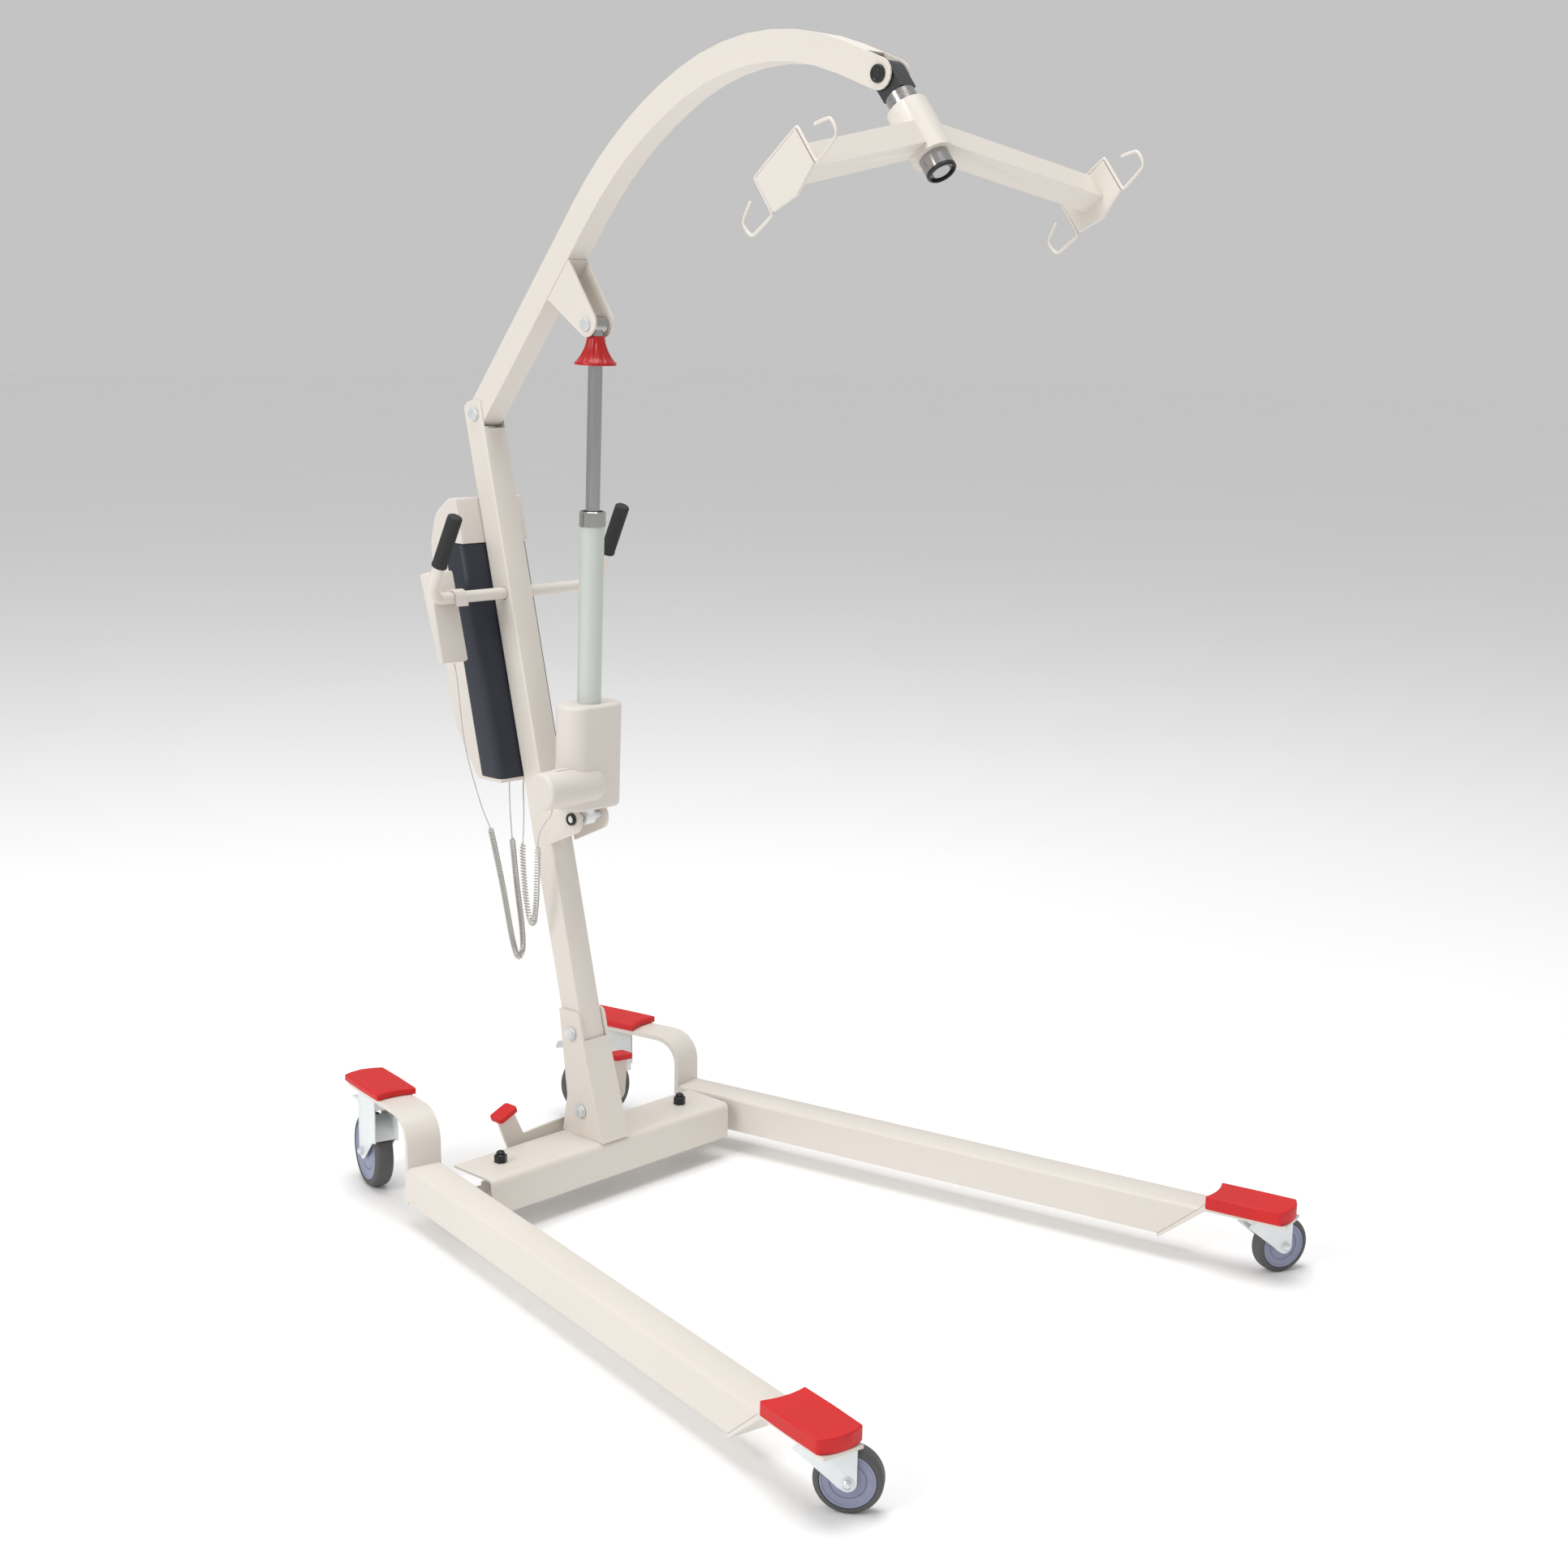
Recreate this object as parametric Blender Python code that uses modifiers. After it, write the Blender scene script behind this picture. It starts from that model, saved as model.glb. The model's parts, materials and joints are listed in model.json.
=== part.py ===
"""Floor lift for moving a person: a splayed base on casters, a leaning mast, a curved boom raised by
an electric actuator, and a swivelling spreader bar with sling hooks.

Metres, +Z up, the legs and the boom point to -Y, and the operator stands at +Y. "left" and "right"
are the operator's: left is +X.
"""
from math import asin, atan, atan2, cos, hypot, pi, radians, sin, tan

import bmesh
import bpy
from mathutils import Matrix, Vector

GAP = 0.0003            # between pieces that touch
SETBACK = 0.459         # from the drawing's origin, near the mast foot, to the middle of the base
SIDESTEP = -0.008       # the turned casters stand out further on the left than on the right

# crossbeam
BEAM_HALF = 0.266
BEAM_FRONT, BEAM_REAR = -0.158, -0.061
BEAM_TOP, BEAM_BOTTOM = 0.1005, 0.039
SHEET = 0.004

# legs, measured from each leg's pivot with the leg pointing to -Y
SPLAY = radians(11.3)
LEG_PIVOT = (0.202, -0.1015)
LEG_INNER, LEG_WIDTH = 0.0786, 0.060
LEG_MIDDLE = LEG_INNER + LEG_WIDTH / 2
LEG_BOTTOM, LEG_TOP = 0.038, 0.099
LEG_REAR = 0.0577
LEG_LENGTH, LEG_UNDERSIDE = 0.996, 0.924
LEG_WALL = 0.003
ARM_BOTTOM, ARM_TOP = 0.042, 0.060
LINK_PIN = 0.024        # from the leg's pivot to its link pin
CAP_WIDTH = 0.071
ARCH_TOP = 0.1832

# casters: wheel radius and width, trail, and the height of the fork's top
FRONT_CASTER = dict(radius=0.0452, width=0.026, trail=0.040, top=0.0935, stem=-1.0243)
REAR_CASTER = dict(radius=0.0625, width=0.032, trail=0.036, top=0.1749, stem=0.2195)
HEADINGS = {"front_right": 35.1, "front_left": 66.5, "rear_right": 162.0, "rear_left": 223.0}

# pedal rocker and its link to the legs
ROCKER_PIVOT = (-0.045, 0.058)
CRANK = 0.0151
PAD_TILT = radians(14.0)
ROCKER_TURN = 2 * asin(LINK_PIN * sin(SPLAY / 2) / CRANK)

# mast
MAST_LEAN = atan(0.2488)
MAST_FOOT = (-0.1213, 0.1012)
MAST_HALF_X, MAST_HALF_Y = 0.024, 0.0228
MAST_WALL = 0.0027
SOCKET_BOLTS = ((-0.0796, 0.275), (-0.1044, 0.1454))

# boom, from its pivot: a straight, two bends one after the other, and a straight tip
BOOM_PIVOT = (0.1682, 1.287)
BOOM_RISE = radians(51.3)
BOOM_STRAIGHT, BOOM_TIP = 0.4153, 0.0729
BOOM_BENDS = ((0.658, radians(25.0)), (0.402, radians(46.3)))
BOOM_HALF_X, BOOM_HALF_DEPTH, BOOM_WALL = 0.021, 0.022, 0.003

# actuator, from its lower pin to its upper pin
LOWER_PIN, UPPER_PIN = (-0.084, 0.643), (-0.104, 1.437)
ACTUATOR_LENGTH = hypot(UPPER_PIN[0] - LOWER_PIN[0], UPPER_PIN[1] - LOWER_PIN[1])
ACTUATOR_TILT = atan2(LOWER_PIN[0] - UPPER_PIN[0], UPPER_PIN[1] - LOWER_PIN[1])
TUBE_RADIUS, TUBE_BORE, ROD_RADIUS = 0.0195, 0.0182, 0.0116
PIN_RADIUS, PIN_HOLE = 0.006, 0.0064

# spreader bar
HANGER_TILT, HANGER_LEAN, SPREADER_TURN = radians(38.65), radians(2.1), radians(2.1)
BOSS_TOP, BOSS_BOTTOM, BOSS_RADIUS = 0.060, 0.143, 0.030
POST_RADIUS, POST_BORE, CHROME_RADIUS = 0.012, 0.0123, 0.0215
HOOK_PLATE_X, HOOK_PLATE_HALF = 0.3057, 0.046

# handle bar and hand control
BAR = (0.096, 0.9965)
BAR_RADIUS, GRIP_RADIUS = 0.0105, 0.0125
PENDANT_X = -0.1375
PENDANT_TOP, PENDANT_FOOT = 0.0465, -0.1035
PENDANT_BACK_TOP, PENDANT_BACK_FOOT = 0.039, 0.024
BUTTONS = (0.010, -0.016)
BUTTON_RADIUS = 0.008
BUTTON_LEAN = atan((PENDANT_BACK_TOP - PENDANT_BACK_FOOT) / (PENDANT_TOP - PENDANT_FOOT))
BATTERY_FOOT, BATTERY_TOP = 0.693, 1.076

# curly cords: a coil with a plain lead at either end
CORD_RADIUS, COIL_RADIUS = 0.0011, 0.0053
PENDANT_LEAD = ((-0.1365, 0.0877, 0.8908), (-0.133, 0.084, 0.860), (-0.114, 0.090, 0.752),
                (-0.090, 0.082, 0.655), (-0.0740, 0.0756, 0.6085))
PENDANT_COIL = ((-0.0738, 0.0755, 0.6080), (-0.066, 0.074, 0.575), (-0.049, 0.072, 0.497),
                (-0.033, 0.070, 0.414), (-0.020, 0.070, 0.376), (-0.0085, 0.071, 0.385),
                (-0.0095, 0.071, 0.425), (-0.020, 0.072, 0.505), (-0.0285, 0.073, 0.584))
PENDANT_TAIL = ((-0.0286, 0.0730, 0.5845), (-0.031, 0.074, 0.622), (-0.032, 0.075, 0.660),
                (-0.032, 0.075, 0.6865))
ACTUATOR_TAIL = ((0.000, 0.075, 0.6865), (-0.006, 0.070, 0.668), (-0.022, 0.050, 0.625),
                 (-0.037, 0.035, 0.5845))
ACTUATOR_COIL = ((-0.0372, 0.0348, 0.5840), (-0.043, 0.028, 0.555), (-0.048, 0.016, 0.500),
                 (-0.051, 0.004, 0.468), (-0.054, -0.007, 0.457), (-0.058, -0.018, 0.464),
                 (-0.062, -0.028, 0.500), (-0.065, -0.034, 0.550), (-0.066, -0.037, 0.595))
ACTUATOR_LEAD = ((-0.0660, -0.0370, 0.5955), (-0.067, -0.043, 0.618), (-0.0705, -0.062, 0.640),
                 (-0.0745, -0.080, 0.655), (-0.075, -0.085, 0.6738))

CREAM = dict(rgb=(0.69, 0.65, 0.59), rough=0.45, metal=0.0)
RED = dict(rgb=(0.62, 0.02, 0.02), rough=0.5, metal=0.0)
NAVY = dict(rgb=(0.03, 0.04, 0.07), rough=0.55, metal=0.0)
BLACK = dict(rgb=(0.02, 0.02, 0.02), rough=0.6, metal=0.0)
TYRE = dict(rgb=(0.07, 0.07, 0.075), rough=0.7, metal=0.0)
ZINC = dict(rgb=(0.6, 0.62, 0.63), rough=0.35, metal=1.0)
CHROME = dict(rgb=(0.55, 0.54, 0.53), rough=0.15, metal=1.0)
PALE = dict(rgb=(0.55, 0.59, 0.56), rough=0.4, metal=0.3)
CORD_GREY = dict(rgb=(0.5, 0.49, 0.47), rough=0.6, metal=0.0)

XY = Matrix.Identity(3)
XZ = Matrix(((1, 0, 0), (0, 0, -1), (0, 1, 0)))
YZ = Matrix(((0, 0, 1), (1, 0, 0), (0, 1, 0)))


# ---- scene, materials and placing ----

def clear_scene():
    for obj in list(bpy.data.objects):
        bpy.data.objects.remove(obj)


def collection(name):
    group = bpy.data.collections.new(name)
    bpy.context.scene.collection.children.link(group)
    return group


def paint(obj, look):
    """Give a finished piece its own material."""
    material = bpy.data.materials.new(obj.name)
    material.use_nodes = True
    shader = material.node_tree.nodes["Principled BSDF"]
    shader.inputs["Base Color"].default_value = (*look["rgb"], 1)
    shader.inputs["Roughness"].default_value = look["rough"]
    shader.inputs["Metallic"].default_value = look["metal"]
    obj.data.materials.clear()
    obj.data.materials.append(material)
    return obj


def frame(name, parent, at=(0, 0, 0), turn=(0, 0, 0)):
    """An empty that pieces are drawn from; it stands on a joint where the pieces move."""
    empty = bpy.data.objects.new(name, None)
    empty.empty_display_size = 0.03
    PARTS.objects.link(empty)
    empty.parent = parent
    empty.location = at
    empty.rotation_euler = turn
    return empty


def add(name, data, parent, basis=None):
    obj = bpy.data.objects.new(name, data)
    PARTS.objects.link(obj)
    obj.parent = parent
    if basis is not None:
        obj.matrix_basis = basis
    return obj


def from_bmesh(name, bm, parent):
    mesh = bpy.data.meshes.new(name)
    bm.to_mesh(mesh)
    bm.free()
    return add(name, mesh, parent)


# ---- outlines ----

def arc(centre, radius, start, end, count=6):
    """Points along an arc, angles in radians."""
    turns = [start + (end - start) * k / count for k in range(count + 1)]
    return [(centre[0] + radius * cos(t), centre[1] + radius * sin(t)) for t in turns]


def rounded(corners, count=4):
    """A closed outline from (a, b, radius) corners, each rounded by its radius; no radius is sharp."""
    points = []
    for k, (a, b, *radius) in enumerate(corners):
        here = Vector((a, b))
        if not radius:
            points.append((a, b))
            continue
        before = (Vector(corners[k - 1][:2]) - here).normalized()
        after = (Vector(corners[(k + 1) % len(corners)][:2]) - here).normalized()
        half = before.angle(after) / 2
        middle = here + (before + after).normalized() * radius[0] / sin(half)
        first = here + before * radius[0] / tan(half) - middle
        last = here + after * radius[0] / tan(half) - middle
        start = atan2(first.y, first.x)
        sweep = (atan2(last.y, last.x) - start + pi) % (2 * pi) - pi
        points += arc(middle, radius[0], start, start + sweep, count)
    return points


def rectangle(half_a, half_b, radius, centre=(0, 0), count=2):
    a, b = centre
    sides = ((-half_a, -half_b), (half_a, -half_b), (half_a, half_b), (-half_a, half_b))
    return rounded([(a + da, b + db, radius) for da, db in sides], count)


def circle(a, b, radius, count=16):
    return arc((a, b), radius, 0, 2 * pi * (count - 1) / count, count - 1)


def bowed(start, end, sag, count=5):
    """Points from start towards end along a shallow arc that bows to the right of the way by sag."""
    start, end = Vector(start), Vector(end)
    way = end - start
    side = Vector((way.y, -way.x)).normalized()
    steps = [k / count for k in range(count)]
    return [tuple(start + way * t + side * sag * 4 * t * (1 - t)) for t in steps]


# ---- solids ----

def plate(name, parent, plane, outline, low, high, holes=()):
    """A flat outline in a plane, with holes, from low to high along the plane's axis."""
    curve = bpy.data.curves.new(name, "CURVE")
    curve.dimensions, curve.fill_mode = "2D", "BOTH"
    curve.extrude = (high - low) / 2
    for points in (outline, *holes):
        spline = curve.splines.new("POLY")
        spline.points.add(len(points) - 1)
        for point, (a, b) in zip(spline.points, points):
            point.co = (a, b, 0, 1)
        spline.use_cyclic_u = True
    normal = Vector([abs(value) for value in plane.col[2]])
    basis = Matrix.Translation(normal * (low + high) / 2) @ plane.to_4x4()
    return add(name, curve, parent, basis)


def box(name, parent, low, high):
    bm = bmesh.new()
    bmesh.ops.create_cube(bm, size=1)
    for vert in bm.verts:
        vert.co = [a + (b - a) * (c + 0.5) for a, b, c in zip(low, high, vert.co)]
    return from_bmesh(name, bm, parent)


def rod(name, parent, start, end, radius, sides=16):
    start, end = Vector(start), Vector(end)
    bm = bmesh.new()
    bmesh.ops.create_cone(bm, cap_ends=True, segments=sides, radius1=radius, radius2=radius,
                          depth=(end - start).length)
    turn = (end - start).to_track_quat("Z", "Y").to_matrix().to_4x4()
    bmesh.ops.transform(bm, matrix=Matrix.Translation((start + end) / 2) @ turn, verts=bm.verts)
    return from_bmesh(name, bm, parent)


def turned(name, parent, profile, at=(0, 0, 0), turn=(0, 0, 0), steps=24, ring=False):
    """Turn a (radius, height) profile about Z; it runs down its outer side, and a ring's closes."""
    mesh = bpy.data.meshes.new(name)
    count = len(profile)
    edges = [(k, (k + 1) % count) for k in range(count if ring else count - 1)]
    mesh.from_pydata([(radius, 0, height) for radius, height in profile], edges, [])
    obj = add(name, mesh, parent)
    obj.location, obj.rotation_euler = at, turn
    screw = obj.modifiers.new("Screw", "SCREW")
    screw.steps = screw.render_steps = steps
    screw.use_merge_vertices, screw.merge_threshold = True, 0.00001
    return obj


def wire(name, parent, points, radius, sides=2):
    """A round bar or a cord along points."""
    curve = bpy.data.curves.new(name, "CURVE")
    curve.dimensions, curve.bevel_depth = "3D", radius
    curve.bevel_resolution, curve.use_fill_caps = sides, True
    spline = curve.splines.new("POLY")
    spline.points.add(len(points) - 1)
    for point, place in zip(spline.points, points):
        point.co = (*place, 1)
    return add(name, curve, parent)


def bent(corners, radii, count=6):
    """Round the inner corners of a route in space, each by its own radius."""
    corners = [Vector(corner) for corner in corners]
    points = [corners[0]]
    for before, here, after, radius in zip(corners, corners[1:], corners[2:], radii):
        back, ahead = (before - here).normalized(), (after - here).normalized()
        half = back.angle(ahead) / 2
        reach = radius / tan(half)
        middle = here + (back + ahead).normalized() * radius / sin(half)
        first = here + back * reach - middle
        last = here + ahead * reach - middle
        for k in range(count + 1):
            points.append(middle + first.normalized().slerp(last.normalized(), k / count) * radius)
    return points + [corners[-1]]


def smooth_route(corners, per_span):
    """A Catmull-Rom curve through a route's own points."""
    corners = [Vector(corner) for corner in corners]
    padded = [2 * corners[0] - corners[1], *corners, 2 * corners[-1] - corners[-2]]
    points = []
    for a, b, c, d in zip(padded, padded[1:], padded[2:], padded[3:]):
        for k in range(per_span):
            t = k / per_span
            points.append(0.5 * (2 * b + (c - a) * t + (2 * a - 5 * b + 4 * c - d) * t * t
                                 + (3 * b - a - 3 * c + d) * t ** 3))
    return points + [corners[-1]]


# ---- changes to a solid ----

def as_mesh(obj):
    """A curve's solid as a mesh object in the same place, its caps welded."""
    if obj.type != "CURVE":
        return obj
    bpy.context.view_layer.update()
    mesh = bpy.data.meshes.new_from_object(obj.evaluated_get(bpy.context.evaluated_depsgraph_get()))
    bm = bmesh.new()
    bm.from_mesh(mesh)
    bmesh.ops.remove_doubles(bm, verts=bm.verts, dist=0.000001)
    bm.to_mesh(mesh)
    bm.free()
    name, parent, place = obj.name, obj.parent, obj.matrix_world.copy()
    bpy.data.objects.remove(obj)
    new = add(name, mesh, parent)
    bpy.context.view_layer.update()
    new.matrix_world = place
    return new


def combine(obj, others, operation):
    obj = as_mesh(obj)
    for other in others:
        other = as_mesh(other)
        PARTS.objects.unlink(other)
        CUTTERS.objects.link(other)
        other.hide_render, other.display_type = True, "WIRE"
        modifier = obj.modifiers.new(operation.title(), "BOOLEAN")
        modifier.operation, modifier.solver, modifier.object = operation, "EXACT", other
    return obj


def join(obj, *others):
    return combine(obj, others, "UNION")


def cut(obj, *others):
    return combine(obj, others, "DIFFERENCE")


def soften(obj, width, segments=2):
    """Round the sharp edges."""
    obj = as_mesh(obj)
    bevel = obj.modifiers.new("Bevel", "BEVEL")
    bevel.width, bevel.segments = width, segments
    bevel.limit_method, bevel.angle_limit = "ANGLE", radians(40)
    return obj


def smooth(obj, angle=40):
    obj.data.shade_smooth()
    obj.data.set_sharp_from_angle(angle=radians(angle))
    return obj


# ---- base ----

def crossbeam(root):
    """Folded sheet, open below and at its ends, with the pedals' pivot stud inside."""
    section = rounded([(BEAM_FRONT, BEAM_BOTTOM), (BEAM_FRONT, BEAM_TOP, 0.010),
                       (BEAM_REAR, BEAM_TOP), (BEAM_REAR, BEAM_TOP - SHEET),
                       (BEAM_FRONT + SHEET, BEAM_TOP - SHEET, 0.006),
                       (BEAM_FRONT + SHEET, BEAM_BOTTOM)], 4)
    beam = plate("crossbeam", root, YZ, section, -BEAM_HALF, BEAM_HALF)
    height = ROCKER_PIVOT[1]
    stud = rod("stud", root, (0, BEAM_FRONT + SHEET / 2, height), (0, -0.036, height), 0.005)
    holes = [rod("bolt_hole", root, (side * LEG_PIVOT[0], LEG_PIVOT[1], BEAM_TOP - 0.02),
                 (side * LEG_PIVOT[0], LEG_PIVOT[1], BEAM_TOP + 0.01), 0.0063) for side in (-1, 1)]
    return paint(cut(join(beam, stud), *holes), CREAM)


def mast_socket(root):
    """Folded sheet round the foot of the mast, open behind."""
    side = rounded([(-0.158, BEAM_TOP + GAP), (-0.109, 0.259, 0.03), (-0.096, 0.313, 0.012),
                    (-0.047, 0.313, 0.003), (-0.068, 0.165, 0.03), (-0.057, BEAM_TOP + GAP)], 4)
    inside = [(-0.1541, 0.09), (-0.1064, 0.256), (-0.110, 0.33), (0, 0.33), (0, 0.09)]
    socket = plate("mast_socket", root, YZ, side, -0.029, 0.029,
                   [circle(y, z, 0.0054, 16) for y, z in SOCKET_BOLTS])
    hollow = plate("hollow", root, YZ, inside, -0.0246, 0.0246)
    return paint(cut(socket, hollow), CREAM)


def hex_bolt(name, root, at, reach):
    """A bolt along X through the mast: hexagon head, shank and nut."""
    y, z = at
    shank = rod(name, root, (-reach - 0.003, y, z), (reach + 0.003, y, z), 0.005, 16)
    heads = [rod("hexagon", root, (side * (reach + GAP), y, z), (side * (reach + 0.0075), y, z),
                 0.0108, 6) for side in (-1, 1)]
    return paint(join(shank, *heads), ZINC)


def leg_bolt(name, root, side):
    """A bolt down through the crossbeam and the leg's arm, with a spacer and a hexagon on top."""
    hexagon = BEAM_TOP + 0.0125
    profile = [(0, hexagon + 0.004), (0.005, hexagon + 0.0032), (0.0085, hexagon), (0.006, hexagon - 0.002),
               (0.006, BEAM_TOP - SHEET - GAP), (0.010, BEAM_TOP - SHEET - GAP), (0.010, ARM_TOP + GAP),
               (0.006, ARM_TOP + GAP), (0.006, ARM_BOTTOM - GAP), (0.011, ARM_BOTTOM - GAP),
               (0.011, 0.0355), (0, 0.0355)]
    x, y = side * LEG_PIVOT[0], LEG_PIVOT[1]
    bolt = turned(name, root, profile, at=(x, y, 0), steps=16)
    nut = rod("nut", root, (x, y, BEAM_TOP + GAP), (x, y, hexagon), 0.0108, 6)
    return paint(join(bolt, nut), BLACK)


def leg(name, hinge, side):
    """Square tube with a slanted front end, the arm to its pivot, and the bent bar for its rear caster."""
    middle = side * LEG_MIDDLE
    half = LEG_WIDTH / 2
    height = (LEG_TOP - LEG_BOTTOM) / 2
    centre = (middle, LEG_BOTTOM + height)
    front = LEG_REAR - LEG_LENGTH
    tube = plate(name, hinge, XZ, rectangle(half, height, 0.005, centre), front, LEG_REAR,
                 [rectangle(half - LEG_WALL, height - LEG_WALL, 0.003, centre)])
    under = LEG_REAR - LEG_UNDERSIDE
    run, rise = front - under, LEG_TOP - LEG_BOTTOM
    slant = plate("slant", hinge, YZ, [(under - run, LEG_BOTTOM - rise), (front + run, LEG_TOP + rise),
                                       (front + 4 * run, LEG_TOP), (under + run, LEG_BOTTOM - 2 * rise)],
                  middle - 0.05, middle + 0.05)
    inner = side * (LEG_INNER + 0.004)
    arm_outline = rounded([(inner, -0.018), (-side * 0.018, -0.018, 0.016), (-side * 0.018, 0.034, 0.012),
                           (side * 0.018, 0.034, 0.008), (side * 0.026, 0.018, 0.004), (inner, 0.018)])
    arm = plate("arm", hinge, XY, arm_outline, ARM_BOTTOM, ARM_TOP, [circle(0, 0, 0.0063)])
    pin_x, pin_y = side * LINK_PIN * sin(SPLAY / 2), LINK_PIN * cos(SPLAY / 2)
    pin = rod("link_pin", hinge, (pin_x, pin_y, ARM_TOP - 0.004), (pin_x, pin_y, 0.0725), 0.004, 16)
    foot = LEG_REAR - 0.001
    back = LEG_REAR + 0.222
    bar = rounded([(foot, LEG_BOTTOM), (foot, ARCH_TOP, 0.048), (back, ARCH_TOP), (back, ARCH_TOP - 0.008),
                   (foot + 0.009, ARCH_TOP - 0.008, 0.039), (foot + 0.009, LEG_BOTTOM)], 5)
    arch = plate("arch", hinge, YZ, bar, middle - half, middle + half)
    return paint(join(cut(tube, slant), arm, pin, arch), CREAM)


def caster_plate(name, hinge, side):
    """Bent plate that closes the leg's slanted end and runs on flat over the front caster."""
    lean = atan2(LEG_TOP - LEG_BOTTOM, LEG_LENGTH - LEG_UNDERSIDE)
    out = Vector((-sin(lean), -cos(lean)))
    low, high = Vector((LEG_REAR - LEG_UNDERSIDE, LEG_BOTTOM)), Vector((LEG_REAR - LEG_LENGTH, LEG_TOP))
    near, far = GAP * 1.5, 0.0055
    flat_end = LEG_REAR - 1.136
    outline = [tuple(low + out * near), tuple(high + out * near), (high.x - 0.002, 0.0996),
               (flat_end, 0.0996), (flat_end, 0.0942), (high.x - 0.0075, 0.0942), tuple(low + out * far)]
    half = LEG_WIDTH / 2 + 0.001
    middle = side * LEG_MIDDLE
    return paint(plate(name, hinge, YZ, outline, middle - half, middle + half), CREAM)


def cap(name, hinge, side, at, length, low, high, rear):
    """Red foot pad over a caster: hollow towards the leg, bowed at its far end."""
    half = CAP_WIDTH / 2
    outline = [*bowed((half, 0), (-half, 0), -0.006), *bowed((-half, 0), (-half, -length), 0.001, 2),
               *bowed((-half, -length), (half, -length), 0.010),
               *bowed((half, -length), (half, 0), 0.001, 2)]
    stand = frame(name + "_stand", hinge, (side * LEG_MIDDLE, at, 0), (0, 0, pi if rear else 0))
    pad = plate(name, stand, XY, outline, low, high)
    return paint(smooth(soften(pad, 0.004, 1)), RED)


# ---- casters ----

def caster_fork(name, swivel, size, brake):
    """Bent plate over the wheel with its axle, on a swivel bearing."""
    half = size["width"] / 2
    axle = (-size["trail"], size["radius"])
    top = size["top"] - (0.0065 if brake else 0.0028)
    crown = 0.016 if brake else 0.0045
    front = 0.028 if brake else 0.020
    shoulder = -0.044 if brake else -0.024
    side = rounded([(front, top), (front - 0.002, top - crown - 0.006),
                    (axle[0] + 0.013, axle[1] - 0.006, 0.004), (axle[0], axle[1] - 0.013, 0.008),
                    (axle[0] - 0.013, axle[1] - 0.002, 0.006), (shoulder, top - crown - 0.016),
                    (shoulder, top)], 2)
    cheeks = plate(name, swivel, YZ, side, -half - 0.0045, half + 0.0045)
    roof_end = -0.038 if brake else -0.013
    inside = [(front + 0.01, 0), (front + 0.01, top - crown), (roof_end, top - crown),
              (roof_end, top + 0.01), (shoulder - 0.03, top + 0.01), (shoulder - 0.08, 0)]
    space = plate("wheel_space", swivel, YZ, inside, -half - 0.0015, half + 0.0015)
    spindle = rod("spindle", swivel, (-half - 0.008, *axle), (half + 0.008, *axle), 0.004, 16)
    bearing = rod("bearing", swivel, (0, 0, top - 0.002), (0, 0, size["top"]), 0.021)
    return paint(join(cut(cheeks, space), spindle, bearing), ZINC)


def caster_wheel(name, axle_frame, size):
    """Tyre and hub turned as one ring, the hub set in from the tyre on each face."""
    radius, half = size["radius"], size["width"] / 2
    hub = radius * 0.84
    upper = [(radius, half - 0.004), (radius - 0.004, half), (hub, half), (hub - 0.001, half - 0.001),
             (0.0044, half - 0.001)]
    lower = [(r, -h) for r, h in upper]
    profile = [*upper[::-1], *lower]
    wheel = turned(name, axle_frame, profile, turn=(0, pi / 2, 0), steps=22, ring=True)
    return paint(smooth(wheel), TYRE)


def brake_lever(name, pivot):
    """Foot lever above a rear wheel; it turns down towards the tyre."""
    outline = rounded([(0.005, -0.004, 0.003), (0.005, 0.0045, 0.004), (-0.030, 0.0015, 0.01),
                       (-0.078, -0.006, 0.002), (-0.078, -0.0105, 0.002), (-0.030, -0.0045, 0.01)], 3)
    tread = plate(name, pivot, YZ, outline, -0.014, 0.014)
    trunnion = rod("trunnion", pivot, (-0.0168, 0, 0), (0.0168, 0, 0), 0.0035, 12)
    return paint(join(tread, trunnion), ZINC)


def caster(name, hinge, side, size, rear):
    """Fork, wheel and, at the rear, the brake lever, each from its own joint."""
    heading = radians(HEADINGS[name]) - side * SPLAY
    at = (side * LEG_MIDDLE, size["stem"], 0)
    swivel = frame(name + "_swivel", hinge, at, (0, 0, heading))
    caster_fork(name + "_fork", swivel, size, rear)
    axle = frame(name + "_axle", swivel, (0, -size["trail"], size["radius"]))
    caster_wheel(name + "_wheel", axle, size)
    if rear:
        brake_lever(name + "_brake", frame(name + "_brake_pivot", swivel, (0, -0.030, 0.1435)))


# ---- pedals and links ----

def pedal_rocker(pivot):
    """Flat rocker behind the crossbeam: a bar, two arms and two crank pins that push the links."""
    half = [(0, 0.060), (0.098, 0.068, 0.008), (0.1135, 0.1180), (0.1465, 0.1098),
            (0.130, 0.042, 0.014), (0.030, 0.030, 0.02), (0.024, -0.022, 0.016), (0, -0.024)]
    mirrored = [(-a, *rest) for a, *rest in half[-2:0:-1]]
    outline = rounded([*half, *mirrored], 4)
    rocker = plate("pedal_rocker", pivot, XZ, outline, -0.0025, 0.0025, [circle(0, 0, 0.0053)])
    pins = [rod("crank_pin", pivot, (0, -0.038, z), (0, -0.001, z), 0.004, 16) for z in (-CRANK, CRANK)]
    return paint(join(rocker, *pins), CREAM)


def pedal_pad(name, pivot, side):
    """Red foot pad on an arm of the rocker."""
    stand = frame(name + "_stand", pivot, (side * 0.130, 0, 0.1142), (0, side * PAD_TILT, 0))
    pad = plate(name, stand, XY, rectangle(0.020, 0.015, 0.006, count=3), GAP, 0.0095)
    return paint(smooth(soften(pad, 0.003, 1)), RED)


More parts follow.
